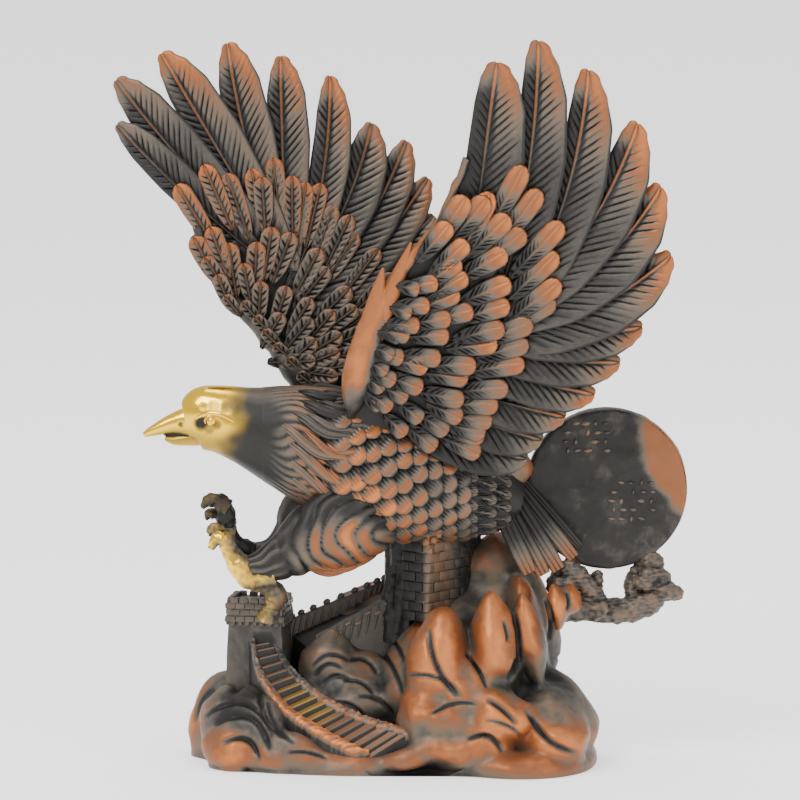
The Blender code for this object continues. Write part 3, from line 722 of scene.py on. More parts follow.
def on_trunk(share, turn, side, lift=0.0):
    """A point on the trunk's skin, turned up or down from its widest line."""
    x, z, depth, high, wide = along(TRUNK, share)
    centre = at(x, z, depth)
    return centre + Vector((0, side * cos(turn) * (wide + lift), sin(turn) * (high + lift))) * GRID


def off_trunk(turn, side):
    """The way out of the trunk's skin at a turn."""
    return Vector((0, side * cos(turn), sin(turn)))


# The rings of scales on the trunk: their number, the shares of its length and the turns that they cover, how
# far a scale reaches to each side of its ring, its lean, and its half width at the two ends.
SCALE_RINGS = 9
SCALES_FROM, SCALES_TO = 0.53, 0.79
SCALES_TURN = (-84, 64)
SCALE_ROOT, SCALE_TIP = 0.04, 0.042
SCALE_LEAN = radians(11)
SCALE_HALF = (12.5, 11.5)
# From a scale's root to its lip: share of the length, of the half width, rise, rub and depth of its comb.
SCALE_RIBS = (
    (0.0, 0.7, 0.0, 0.05, 0.4), (0.25, 0.9, 0.6, 0.06, 1.0), (0.42, 0.98, 1.0, 0.1, 1.0),
    (0.56, 1.0, 1.5, 0.2, 1.0), (0.68, 0.99, 2.1, 0.42, 0.8), (0.79, 0.93, 2.6, 0.74, 0.4),
    (0.88, 0.79, 2.7, 0.9, 0.1), (0.95, 0.56, 2.0, 0.7, 0.0), (1.0, 0.28, 0.0, 0.1, 0.0),
)
SCALE_ACROSS = 12
SCALE_BACK = -2.4
COMB_DEPTH = 1.7


def scale(form, root, tip, facing, half, copper):
    """One round scale: a domed tongue with comb grooves at its root and a rubbed lip."""
    run = tip - root
    length = run.length
    run.normalize()
    facing = square_to(facing, run)
    side = run.cross(facing).normalized()
    rows = []
    for share, wide, rise, rub, comb in SCALE_RIBS:

        def place(across, lift, tone):
            """A point of the scale's skin, so far across it and so far above its middle sheet."""
            spot = root + run * (share * length) + side * (across * wide * half * GRID)
            return form.point(spot + facing * (lift * GRID), tone)

        row = []
        for k in range(SCALE_ACROSS + 1):
            u = 2 * k / SCALE_ACROSS - 1
            groove = comb * (k % 2) * (abs(u) < 0.95)
            lift = rise * (1 - 0.75 * u ** 4) - groove * COMB_DEPTH
            row.append(place(u, lift, rub * copper * (1 - 0.8 * groove) * (1 - 0.7 * u ** 8)))
        row += [place(u, SCALE_BACK, 0.0) for u in (0.6, -0.6)]
        rows.append(row)
    form.skin(rows)


# Rings of longer feathers behind the scales: where they stand on the trunk and how many to a side.
FLANK_RINGS = ((0.80, 9), (0.85, 8), (0.90, 7))


def trunk_scales(form, scale_rows):
    """Rows of round scales over the breast and flanks, each lying on the one behind it."""
    for ring in range(SCALE_RINGS):
        place = 1 - ring / (SCALE_RINGS - 1)
        share = blend(SCALES_FROM, SCALES_TO, place)
        for side in (-1, 1):
            for row in range(scale_rows):
                seed = Vector((ring * 1.9, row * 1.7, side))
                level = (row + 0.5 * (ring % 2)) / scale_rows
                turn = radians(blend(*SCALES_TURN, level) + 5 * noise.noise(seed))
                root = on_trunk(share - SCALE_ROOT, turn + SCALE_LEAN, side, -1)
                tip = on_trunk(share + SCALE_TIP, turn - SCALE_LEAN, side, 6 + 2 * noise.noise(seed * 2))
                copper = blend(1.05, 0.68, place) * (0.88 + 0.5 * noise.noise(seed * 3))
                scale(form, root, tip, off_trunk(turn, side), blend(*SCALE_HALF, place), copper)


def flank_feathers(form):
    """Longer feathers on the rump, behind the scales."""
    for share, count in reversed(FLANK_RINGS):
        for side in (-1, 1):
            for row in range(count):
                turn = radians(blend(-82, 66, row / (count - 1)))
                root = on_trunk(share - 0.07, turn + radians(4), side, 0.5)
                tip = on_trunk(share + 0.05, turn - radians(4), side, 2.5)
                feather(form, root, tip, off_trunk(turn, side), 9, FLANK, 0.55)


# Rings of locks: where they start on the trunk, how many to a side, their length and how coppery they are.
# Every lock and tail feather has three hairs side by side.
LOCK_RINGS = ((0.425, 9, 0.17, 0.5), (0.465, 8, 0.16, 0.62), (0.505, 7, 0.13, 0.7))
LOCK_RADII = (0.8, 2.4, 3.4, 3.7, 3.3, 2.2, 0.5)
LOCK_STEPS = 6
HAIRS = (-1, 0, 1)


def neck_locks(form):
    """Long wavy locks of fine feathers from the neck over the shoulders."""
    for ring, (start, count, length, tone) in enumerate(LOCK_RINGS):
        for side in (-1, 1):
            for row in range(count):
                turn = radians(blend(-86, 84, (row + 0.5 * (ring % 2)) / (count - 0.5)))
                copper = tone * blend(1.0, 0.45, ease(0.2, 0.9, sin(turn)))
                begin = start + 0.03 * noise.noise(Vector((row * 3.1, ring, side)))
                begin += 0.02 * ease(0.0, 1.0, sin(turn))
                for hair in HAIRS:
                    points = []
                    for step in range(LOCK_STEPS + 1):
                        wave = radians(6) * sin(step * 0.95 + row * 0.4 + ring) - radians(2.2) * step
                        spread = radians(3.2) * hair * (1 - (step / LOCK_STEPS) ** 2)
                        lift = 1.0 + 1.6 * (hair == 0) - 5 * (step == 0)
                        share = begin + step * length / LOCK_STEPS
                        points.append(on_trunk(share, turn + wave + spread, side, lift))
                    strand(form, points, LOCK_RADII, off_trunk(turn, side), copper, steps=14)


# Flame tips of the locks along the thigh's lower edge, as seen from the front.
THIGH_LOCKS = (
    ((-98, 204), (-88, 193), (-70, 187), (-52, 189)),
    ((-86, 206), (-74, 195), (-56, 191), (-38, 195)),
    ((-74, 211), (-60, 200), (-42, 197), (-24, 203)),
    ((-62, 217), (-48, 207), (-30, 205), (-14, 212)),
)
THIGH_MIDDLE = (-14, 224)
THIGH_RIDGE = 11
THIGH_RADII = (0.6, 2.0, 2.8, 2.2, 0.4)


def thigh_front(x, z):
    """The depth of the near thigh's front skin at a place on the drawing."""
    spots = sorted(NEAR_THIGH)
    for low, high in zip(spots, spots[1:]):
        if x <= high[0] or high is spots[-1]:
            t = min(max((x - low[0]) / (high[0] - low[0]), 0), 1)
            middle, depth, tall, wide = (blend(low[k], high[k], t) for k in (1, 2, 3, 4))
            return depth - wide * sqrt(max(0.05, 1 - ((z - middle) / tall) ** 2))
    return spots[0][2]


def thigh_locks(form):
    """The flame tips that end the locks on the near thigh."""
    for lock in THIGH_LOCKS:
        for hair in HAIRS:
            points = []
            for step in range(LOCK_STEPS + 1):
                share = step / LOCK_STEPS
                x, z = along(lock, share)
                z += hair * 2.6 * sin(pi * (0.15 + 0.8 * share))
                sunk = blend(3, -1.6, ease(0, 0.5, share)) + abs(hair) * 0.8
                points.append(at(x, z, thigh_front(x, z) + sunk))
            strand(form, points, THIGH_RADII, FRONT, 0.66, steps=14)


def thigh_shape(point, out, share, turn):
    """Bold locks carved round the near thigh, open to the right, coppery on their ridges."""
    x, z = drawn(point)
    across, up = x - THIGH_MIDDLE[0], z - THIGH_MIDDLE[1]
    reach = abs(up) if across > 0 else sqrt(0.5 * across * across + up * up)
    reach += 4.5 * noise.noise(point / (28 * GRID))
    ridge = abs(sin(pi * reach / THIGH_RIDGE)) ** 0.6
    front = ease(-0.3, 0.3, -out.y)
    bold = front * ease(-134, -100, x)
    near = ease(1.1, 0.2, ((x + 54) / 60) ** 2 + ((z - 206) / 40) ** 2)
    plain = leg_shape(point, out, share, turn)
    lock = int(reach / THIGH_RIDGE)
    worn = 0.86 + 0.3 * noise.noise(point / (16 * GRID)) + 0.4 * noise.noise(Vector((lock * 2.7, 0, 1)))
    tone = 0.04 + ridge * blend(0.2, 0.74, near) * worn
    return blend(plain[0], 3.8 * ridge - 2.4, bold), blend(plain[1], tone, bold), 0.0


NECK_RIDGES = 40


def neck_shape(point, out, share, turn):
    """Long flowing ridges that grow out of the smooth neck, grey above and coppery on the breast; painted
    sheen on top.
    """
    x, z = drawn(point)
    begin = ease(-138, -96, x + 12 * noise.noise(point / (16 * GRID)))
    sway = 5.5 * sin(x / 17 + 1.4 * sin(2 * turn)) + 3 * noise.noise(point / (26 * GRID))
    ridge = abs(sin(0.5 * (NECK_RIDGES * turn + sway))) ** 0.7
    bold = begin * (0.75 + 0.5 * noise.noise(point / (10 * GRID)))
    low = ease(352, 322, z) * ease(-118, -70, x)
    sunk = -3 * (1 - ease(-148, -136, x))
    # top: a painted sheen that lightens the smooth neck's upward faces.
    top = 0.24 * ease(0.5, 0.95, out.z) * (1 - begin)
    tone = 0.14 + top + begin * ridge * blend(0.42, 0.5, low) - 0.1 * begin * (1 - ridge)
    return (3.2 * ridge - 1.8) * bold + sunk, tone, 0.0


def body_shape(point, out, share, turn):
    """The trunk under its scales: dark, with fine ripples."""
    return 0.8 * noise.noise(point / (7 * GRID)), 0.12, 0.0


def leg_shape(point, out, share, turn):
    """The fine feathers of a leg run along it, dark and faintly rubbed."""
    groove = 0.5 + 0.5 * cos(11 * turn + 3 * noise.noise(point / (20 * GRID)))
    return 1.1 * groove - 0.5, 0.1 + 0.25 * groove, 0.0


def body(sizes):
    """The eagle's trunk with its scales, locks, thighs and tail."""
    form = Form()
    tube(form, TRUNK[HEAD_END - 1:HEAD_END + 4], 15, 240, shape=neck_shape)
    tube(form, TRUNK[HEAD_END + 2:], 6, 48, shape=body_shape)
    trunk_scales(form, sizes.scale_rows)
    flank_feathers(form)
    neck_locks(form)
    tube(form, NEAR_THIGH, 17, 120, shape=thigh_shape)
    tube(form, FAR_THIGH, 6, 44, shape=leg_shape)
    thigh_locks(form)
    tail(form)
    return finished(form.object("eagle_body"))


# A ridge of a tail feather: its radius along the way as shares of the feather's half width, and how far
# apart the ridges stand at a share of the length.
TAIL_RADII = (0.34, 0.42, 0.46, 0.5, 0.34)
TAIL_STOPS = ((0, 0.6), (0.35, 1), (0.7, 1), (1, 0.9))


def tail(form):
    """Narrow tail feathers, each of long ridges side by side, dark at the root, with a rounded copper end."""
    for i, (tip, root, half) in enumerate(TAIL):
        copper = blend(0.12, 0.52, i < len(TAIL) - 1)

        def tone(share, turn):
            """How far a tail feather is rubbed: more towards its tip and on its broad faces."""
            return copper * ease(0.35, 1.0, share) * (0.3 + 0.7 * abs(cos(turn))) + 0.1

        start, end = at(*root, -4 + 4 * i), at(*tip, -20 + 5 * i)
        side = (end - start).cross(FRONT).normalized()
        radii = [half * share for share in TAIL_RADII]
        for hair in HAIRS:
            shift = side * hair * half * 0.62 * GRID
            points = [start.lerp(end, share) + shift * spread for share, spread in TAIL_STOPS]
            strand(form, points, radii, FRONT, steps=22, sides=12, crown=1.2, tone=tone)


# Hollows pressed into the head: place on the drawing, radius, depth and how dark they are.
HOLLOWS = (
    (-198, 336, 9, 4.0, 1.0), (-219, 335, 3.4, 2.6, 0.9), (-183, 335, 6, 2.2, 0.7), (-190, 330, 6, 1.2, 0.6),
    (-186, 353, 8, 0.8, 0.45), (-172, 352, 8, 0.8, 0.5), (-196, 352, 6, 0.8, 0.35), (-160, 346, 10, 0.6, 0.5),
)
GOLD_FULL = -178
GOLD_NONE = -142
# The face ends at the fourth station of the trunk.
FACE_END = 3
EYE = (-188, 338)
EYE_RADIUS = 5.2
LID = (6.6, 5.2)
BROW = ((-206, 339), (-198, 344), (-188, 346), (-177, 344), (-165, 337))
MOUTH = ((-236, 325, -12, 1.5, 3), (-224, 325, -12, 3.4, 5), (-208, 323, -12, 5, 8), (-198, 322, -12, 5, 8))


def head_shape(point, out, share, turn):
    """The smooth head: pressed hollows round the eye and nostril, gold at the front and dark on the neck,
    painted shade below, painted sheen above.
    """
    x, z = drawn(point)
    lift, dark = 0.0, 0.0
    for px, pz, radius, depth, tone in HOLLOWS:
        near = max(0.0, 1 - ((x - px) ** 2 + (z - pz) ** 2) / radius ** 2)
        lift -= depth * near * near
        dark = max(dark, tone * min(1, near * 1.6))
    flow = noise.noise(point / (14 * GRID))
    reach = x + 7 * flow + 14 * ease(338, 318, z) + 8 * ease(340, 352, z) * ease(372, 360, z)
    gold = (1 - ease(GOLD_FULL, GOLD_NONE, reach)) ** 1.3
    # under: painted shade, taking the gold off the faces turned downward.
    under = ease(0.1, 0.9, -out.z) * 0.6
    # top: a painted sheen that lightens the upward faces behind the gold.
    top = ease(0.5, 0.95, out.z) * ease(GOLD_FULL, GOLD_NONE, x)
    lift -= 3 * ease(-136, -124, x)
    return lift, 0.14 + 0.24 * top, gold * (1 - dark) * (1 - under)


def jaw_shape(point, out, share, turn):
    """The lower beak: gold on its edges, olive between."""
    return 0.0, 0.2, blend(0.35, 0.85, abs(out.z) ** 2)


def on_face(x, z, side, lift):
    """The point on one side of the face that the drawing shows at x, z."""
    start, end = TRUNK[0][0], TRUNK[FACE_END][0]
    share = min(max((x - start) / (end - start), 0), 1) * FACE_END / (len(TRUNK) - 1)
    middle, depth, high, wide = along(TRUNK, share)[1:]
    up = (z - middle) / high
    return at(x, z, depth + side * (wide * sqrt(max(0.05, 1 - up * up)) + lift))


def head(sizes):
    """The smooth golden head with its beak, brow and eyes, fading to the dark neck."""
    form = Form()
    tube(form, TRUNK[:HEAD_END + 1], 14, 84, shape=head_shape)
    tube(form, BEAK, 6, 36, shape=head_shape)
    tube(form, LOWER_BEAK, 6, 28, shape=jaw_shape)
    tube(form, MOUTH, 5, 16, rub=0.0)
    for side in (-1, 1):
        brow = [on_face(x, z, side, 0.5) for x, z in BROW]
        strand(form, brow, (1.0, 2.6, 3.0, 2.2, 0.8), Vector((0, side, 0.4)), 0.5, 1.0, 20, 12)
        eye = on_face(*EYE, side, 0.4)
        ball(form, eye, EYE_RADIUS * GRID, 0.5, 1.0)
        lid = []
        for turn in (radians(20 * k - 30) for k in range(13)):
            lid.append(eye + Vector((cos(turn) * LID[0], 0.4 * side, sin(turn) * LID[1])) * GRID)
        strand(form, lid, (0.6, 1.3, 1.5, 1.3, 0.6), Vector((0, side, 0)), 0.4, 0.8, 20, 8)
    return finished(form.object("eagle_head"))


def ball(form, centre, radius, rub, gold, rings=12, sides=20):
    """A small ball."""
    rows = []
    for lean in (pi * i / rings for i in range(1, rings)):
        ring = [Vector((sin(lean) * cos(turn), sin(lean) * sin(turn), cos(lean))) for turn in turns(sides)]
        rows.append([form.point(centre + way * radius, rub, gold) for way in ring])
    form.skin(rows)


def toe_shape(rub, gold, rings):
    """The look of a toe: swollen joints and gnarled skin, dark in the creases, and gold on the faces turned
    to the light, partly gilt and partly painted light.
    """

    def shape(point, out, share, turn):
        swell = cos(2 * pi * rings * share + 0.5)
        knob = noise.noise(point / (5 * GRID)) * 1.6 + noise.noise(point / (2.4 * GRID)) * 0.9
        # top: faces turned up, to the front and to the left, where the key light falls; gold is kept to them,
        # partly gilt, partly painted light.
        top = ease(-0.4, 0.6, out.z * 0.5 - out.y * 0.2 - out.x)
        worn = min(max(0.75 + 0.25 * knob + 0.15 * swell, 0), 1)
        return 0.8 * swell + knob, rub * worn, gold * worn * top

    return shape


def feet(sizes):
    """The raised far foot, dark, and the golden near foot that stands on the watchtower."""
    form = Form()
    tube(form, NEAR_TOES, 10, 28, shape=toe_shape(0.5, 1.1, 3))
    tube(form, NEAR_HEEL, 9, 26, shape=toe_shape(0.5, 0.3, 2))
    tube(form, FAR_SHANK, 9, 26, shape=toe_shape(0.1, 0.0, 2))
    for toe, tone in zip(FAR_TOES, (0.12, 0.12, 0.4)):
        tube(form, toe, 10, 22, shape=toe_shape(tone, tone * 0.6, 1.5))
    return finished(form.object("eagle_feet"))


def near_wing(sizes):
    """The wing in front, with two short prongs over its arm."""
    form = Form()
    wing(form, near_depth, NEAR_ARM, NEAR_LONG, NEAR_ROWS, LONG_NEAR, COVERT, 0.74)
    for prong in PRONGS:
        stations = [(x, z, near_depth(x, z) - 3, r, r * 0.8) for x, z, r in prong]
        tube(form, stations, 7, 20, rub=0.7)
    return finished(form.object("near_wing"))


def far_wing(sizes):
    """The wing behind, seen from inside."""
    form = Form()
    wing(form, far_depth, FAR_ARM, FAR_LONG, FAR_ROWS, LONG_FAR, FAR_COVERT, 0.3)
    return finished(form.object("far_wing"))


def lump(form, x, z, depth, half_length, half_depth, half_height, lean, rounds=4):
    """A rounded lump of rock or leaf, drawn in towards its top."""
    size = Matrix.Diagonal((half_length * GRID, half_depth * GRID, half_height * GRID, 1))
    place = Matrix.Translation(at(x, z, depth)) @ Matrix.Rotation(radians(lean), 4, "Y") @ size
    for vert in bmesh.ops.create_icosphere(form, subdivisions=rounds, radius=1)["verts"]:
        draw_in = 1 - 0.22 * max(0, vert.co.z)
        spot = place @ Vector((vert.co.x * draw_in, vert.co.y * draw_in, vert.co.z))
        swell = noise.noise(spot / (26 * GRID)) * 7 * GRID
        vert.co = spot + (spot - place.translation).normalized() * swell


def joined_skin(form, name, step):
    """One even skin over all the closed shells of a form."""
    bmesh.ops.recalc_face_normals(form, faces=form.faces)
    mesh = bpy.data.meshes.new(name)
    form.to_mesh(mesh)
    form.free()
    piece = linked(name, mesh)
    applied(piece, "REMESH", mode="VOXEL", voxel_size=step)
    return piece


class Surface:
    """A mesh's points as arrays, for shaping and for telling ridges from valleys."""

    def __init__(self, mesh):
        self.mesh = mesh
        count = len(mesh.vertices)
        self.points = np.empty(count * 3)
        mesh.vertices.foreach_get("co", self.points)
        self.points = self.points.reshape(-1, 3)
        ends = np.empty(len(mesh.edges) * 2, dtype=np.int64)
        mesh.edges.foreach_get("vertices", ends)
        self.ends = ends.reshape(-1, 2)
        self.degree = np.maximum(np.bincount(self.ends.ravel(), minlength=count), 1)

    def normals(self):
        """The way out of the surface at each point."""
        self.mesh.vertices.foreach_set("co", self.points.ravel())
        self.mesh.update()
        out = np.empty(len(self.mesh.vertices) * 3)
        self.mesh.vertex_normals.foreach_get("vector", out)
        return out.reshape(-1, 3)

    def push(self, lift):
        """Moves each point outwards by its lift, in squares, and gives the ways out that it used."""
        normals = self.normals()
        self.points += normals * (lift * GRID)[:, None]
        return normals

    def smooth(self, values, rounds):
        """Values averaged with their neighbours', so many times."""
        a, b = self.ends[:, 0], self.ends[:, 1]
        count = len(values)
        values = values.copy()
        for step in range(rounds):
            total = np.empty_like(values)
            for k in range(values.shape[1]):
                total[:, k] = np.bincount(a, values[b, k], count) + np.bincount(b, values[a, k], count)
            values = 0.5 * values + 0.5 * total / self.degree[:, None]
        return values

    def height(self, rounds):
        """How far each point stands above the surface round it, in squares."""
        normals = self.normals()
        away = self.points - self.smooth(self.points, rounds)
        return np.einsum("ij,ij->i", away, normals) / GRID

    def drawn(self):
        """Where the front drawing shows each point."""
        x = self.points[:, 0] / GRID
        z = (self.points[:, 2] * cos(VIEW_TILT) + self.points[:, 1] * sin(VIEW_TILT)) / GRID
        return x, z

    def store(self, rub):
        """Gives the mesh its points and how far each is rubbed. None of them is gilt."""
        self.normals()
        for word, values in (("rub", np.clip(rub, 0, 1)), ("gold", np.zeros(len(rub)))):
            layer = self.mesh.attributes.get(word) or self.mesh.attributes.new(word, "FLOAT", "POINT")
            layer.data.foreach_set("value", values)


def step_up(low, high, values):
    """A smooth rise from 0 at low to 1 at high, over an array."""
    t = np.clip((values - low) / (high - low), 0, 1)
    return t * t * (3 - 2 * t)


def fractal(points, scale, seed):
    """Soft noise at each point, about -1 to 1."""
    shift = Vector((seed * 3.1, seed * 1.7, seed * 2.3))
    return np.array([noise.fractal(Vector(p) / (scale * GRID) + shift, 1.0, 2.0, 4) for p in points])


def arc_points(start, end, bow, steps=14):
    """Points along an arc between two places on the drawing."""
    run = Vector(end) - Vector(start)
    left = Vector((-run.y, run.x)).normalized()
    shares = [i / steps for i in range(steps + 1)]
    return [Vector(start) + run * t + left * bow * 4 * t * (1 - t) for t in shares]


# Rounds of smoothing that melt the lobes together, and that tell the rock's rounds and edges from its
# valleys.
ROCK_MELT = 56
ROCK_BROAD = 60
ROCK_FINE = 16
# How much of a groove's depth its lip takes back. A ring of the foot is its height and the share of its plan.
LIP = 0.35
BASE_RINGS = ((-8, 0.97), (8, 1.0), (BASE_RISE + 6, 0.9))
# Where the rock is rubbed to copper, and where painted shade darkens it (the negative changes): place on the
# drawing, reach and change.
ROCK_WEAR_AND_SHADE = (
    (38, 104, 30, 40, 0.5), (95, 124, 18, 42, 0.5), (130, 134, 10, 34, 0.4), (156, 156, 9, 18, 0.45),
    (176, 166, 8, 10, 0.45), (98, 44, 34, 20, 0.42), (150, 14, 46, 26, 0.34), (60, 12, 60, 18, 0.25),
    (-40, 92, 18, 14, 0.28), (16, 58, 20, 14, 0.3), (-164, 10, 24, 18, 0.34), (-208, 50, 12, 36, 0.34),
    (-60, 4, 60, 10, 0.2), (-60, 110, 46, 34, -0.12), (-50, 50, 40, 24, -0.12), (156, 90, 26, 36, -0.2),
    (-176, 50, 20, 18, -0.16), (4, 8, 28, 16, -0.14), (66, 150, 12, 20, -0.2), (114, 80, 14, 16, -0.15),
    (-152, 66, 22, 34, -0.3), (-120, 34, 22, 22, -0.2),
)


def segment_distance(x, z, start, end):
    """How far places on the drawing lie from a short line, squared, and how far along it."""
    run = end - start
    t = np.clip(((x - start.x) * run.x + (z - start.y) * run.y) / run.length_squared, 0, 1)
    return (x - start.x - t * run.x) ** 2 + (z - start.y - t * run.y) ** 2, t


def rock_mass(step):
    """The foot and the lobes under one even skin, cut off flat at the table."""
    form = bmesh.new()
    plan = [along(BASE_PLAN + BASE_PLAN[:1], i / PLAN_POINTS) for i in range(PLAN_POINTS)]
    rings = []
    for height, grow in BASE_RINGS:
        spots = [(x * grow * GRID, y * grow * GRID, height * GRID) for x, y in plan]
        rings.append([form.verts.new(spot) for spot in spots])
    for low, high in zip(rings, rings[1:]):
        for i in range(PLAN_POINTS):
            j = (i + 1) % PLAN_POINTS
            form.faces.new((low[i], low[j], high[j], high[i]))
    form.faces.new(rings[0][::-1])
    form.faces.new(rings[-1])
    for rock in ROCKS:
        lump(form, *rock)
    piece = joined_skin(form, "rock_base", step)
    cut_flat(piece)
    return piece


def creases(x, z, front):
    """How deep the creases cut at places on the drawing, and how dark they are there."""
    depth = np.zeros(len(x))
    dark = np.zeros(len(x))
    for start, end, bow, wide, deep in CREASES:
        line = arc_points(start, end, bow)
        best = np.full(len(x), np.inf)
        taper = np.zeros(len(x))
        for i, (low, high) in enumerate(zip(line, line[1:])):
            near, t = segment_distance(x, z, low, high)
            closer = near < best
            best = np.where(closer, near, best)
            taper = np.where(closer, np.sin(pi * (i + t) / (len(line) - 1)) ** 0.5, taper)
        groove = np.exp(-best / (wide * wide)) * taper * front
        lip = np.exp(-best / (12 * wide * wide)) * taper * front
        depth += groove * deep - lip * deep * LIP
        dark = np.maximum(dark, groove)
    return depth, dark


def rock_base(sizes):
    """The rock: a foot with smooth lobes, cut by creases, coppery on its rounds and dark in its valleys, with
    listed patches of painted shade.
    """
    piece = rock_mass(sizes.rock_step)
    surface = Surface(piece.data)
    foot = surface.points[:, 2].copy()
    surface.points[:] = surface.smooth(surface.points, ROCK_MELT)
    surface.points[:, 2] = np.where(foot < 2 * GRID, foot, surface.points[:, 2])
    front = surface.normals()[:, 1] < 0.35
    x, z = surface.drawn()
    depth, dark = creases(x, z, front)
    swell = fractal(surface.points, 46, 1) * 2.4 + fractal(surface.points, 15, 2) * 0.25
    normals = surface.push((swell - depth) * step_up(1, 12, surface.points[:, 2] / GRID))
    surface.points[:, 2] = np.maximum(surface.points[:, 2], 0)
    rub = 0.34 + 0.1 * step_up(0.2, 0.6, normals[:, 1])
    # The listed patches: positive changes rub copper on, negative changes are painted shade.
    for px, pz, wide, high, change in ROCK_WEAR_AND_SHADE:
        near = np.exp(-(((x - px) / wide) ** 2 + ((z - pz) / high) ** 2))
        rub += change * near * np.where(change > 0, front, 1)
    rub += np.clip(surface.height(ROCK_BROAD) * 0.08, -0.22, 0.16)
    rub += np.clip(surface.height(ROCK_FINE) * 0.12, -0.2, 0.08)
    surface.store(np.minimum(rub, 0.9) * (1 - 0.85 * dark))
    return finished(piece, 80)


# The cut lies just above the table, so that the foot rests on it with a flat face.
CUT_HEIGHT = 0.00002


def cut_flat(piece):
    """Cuts a piece off flat at the table and closes it."""
    alone(piece)
    bpy.ops.object.mode_set(mode="EDIT")
    bpy.ops.mesh.select_all(action="SELECT")
    bpy.ops.mesh.bisect(plane_co=(0, 0, CUT_HEIGHT), plane_no=(0, 0, 1), use_fill=True, clear_inner=True)
    bpy.ops.object.mode_set(mode="OBJECT")


def cube(name, centre, size, turn=0.0, bevel=0.0, cuts=0):
    """A box with bevelled edges, modelled at its place."""
    bpy.ops.object.select_all(action="DESELECT")
    bpy.ops.mesh.primitive_cube_add(size=1, location=centre, rotation=(0, 0, radians(turn)), scale=size)
    piece = bpy.context.object
    piece.name = name
    bpy.ops.object.transform_apply(location=False, rotation=False, scale=True)
    bpy.ops.object.mode_set(mode="EDIT")
    bpy.ops.mesh.select_all(action="SELECT")
    if bevel:
        bpy.ops.mesh.bevel(offset=bevel, segments=2, affect="EDGES")
    if cuts:
        bpy.ops.mesh.select_all(action="SELECT")
        bpy.ops.mesh.subdivide(number_cuts=cuts)
    bpy.ops.object.mode_set(mode="OBJECT")
    bpy.ops.object.transform_apply(location=True, rotation=True, scale=True)
    return piece


def copied(model, shift, turn=0.0):
    """A copy of a modelled block with its own mesh, turned and moved."""
    piece = linked(model.name, model.data.copy())
    piece.data.transform(Matrix.Translation(shift) @ Matrix.Rotation(radians(turn), 4, "Z"))
    return piece


def brick_model(length, width, height, bevel, cuts=0):
    """A block at the origin to make copies of, its sizes in squares."""
    return cube("brick", (0, 0, 0), (length * GRID, width * GRID, height * GRID), 0, bevel * GRID, cuts)


def joined(name, parts):
    """Joins blocks to one piece whose object stands at the origin."""
    alone(*parts)
    bpy.ops.object.join()
    piece = bpy.context.object
    piece.name = name
    piece.data.name = name
    bpy.ops.object.transform_apply(location=True, rotation=True, scale=True)
    return piece


def masonry(piece, rub, warm, seed, dark, rough=0.9):
    """Uneven stone: small dents, copper rubbed on its edges, and a doorway painted dark, partly patina and
    partly painted shade.
    """
    surface = Surface(piece.data)
    wear = fractal(surface.points, 9, seed) * rough + fractal(surface.points, 3, seed + 2) * 0.35 * rough
    normals = surface.push(wear)
    edge = surface.height(2)
    tone = rub + warm * np.clip(edge, -1, 1) + 0.06 * fractal(surface.points, 30, seed + 1)
    x, z = surface.drawn()
    # The doorway: painted shade for a recess that is not modelled, together with its dark patina.
    inside = (np.abs(x - dark[0]) < dark[2]) & (np.abs(z - dark[1]) < dark[3]) & (normals[:, 1] < -0.5)
    surface.store(np.where(inside, 0, tone))
    return finished(piece, 40)


# The watchtower at the head of the stairs.
TOWER_X = -141
TOWER_DEPTH = 4
TOWER_FOOT = 40
TOWER_BAND = 140
TOWER_LENGTH = 27
TOWER_WIDTH = 25
TOWER_TURN = -10
TOWER_COURSES = 3
COURSE = 6.4
MORTAR = 0.7
BRICKS_A_SIDE = 6
# How much wider the shaft is at its foot, and how near a corner the last block of a course may stand.
TOWER_SPREAD = 0.16
CORNER_SPARE = 3
# The doorway, painted black on a flat face: painted shade for its recess, which is not modelled, over its
# dark patina. Place on the drawing, half width and half height.
DOORWAY = (-137, 112, 9, 13)


def tower_block(low, high, wider, bevel, cuts=0):
    """A box between two heights on the drawing, round the tower's middle line."""
    foot, top = at(TOWER_X, low, TOWER_DEPTH), at(TOWER_X, high, TOWER_DEPTH)
    size = (2 * (TOWER_LENGTH + wider) * GRID, 2 * (TOWER_WIDTH + wider) * GRID, (top - foot).z)
    return cube("block", foot.lerp(top, 0.5), size, TOWER_TURN, bevel * GRID, cuts)


def round_tower(model, count, wider, out, height, first=0.5):
    """Copies of a block side by side on all four faces of the watchtower."""
    middle = at(TOWER_X, TOWER_BAND, TOWER_DEPTH)
    spin = Matrix.Rotation(radians(TOWER_TURN), 3, "Z")
    blocks = []
    for side in range(4):
        ends = side % 2
        half, away = (TOWER_WIDTH, TOWER_LENGTH) if ends else (TOWER_LENGTH, TOWER_WIDTH)
        half += wider
        for i in range(count):
            across = (i + first) / count * 2 * half - half
            if across > half - CORNER_SPARE:
                continue
            spot = Vector((away + out, across, 0)) if ends else Vector((across, -away - out, 0))
            if side >= 2:
                spot = -spot
            place = middle + spin @ (spot * GRID) + lifted(height)
            blocks.append(copied(model, place, TOWER_TURN + 90 * ends))
    return blocks


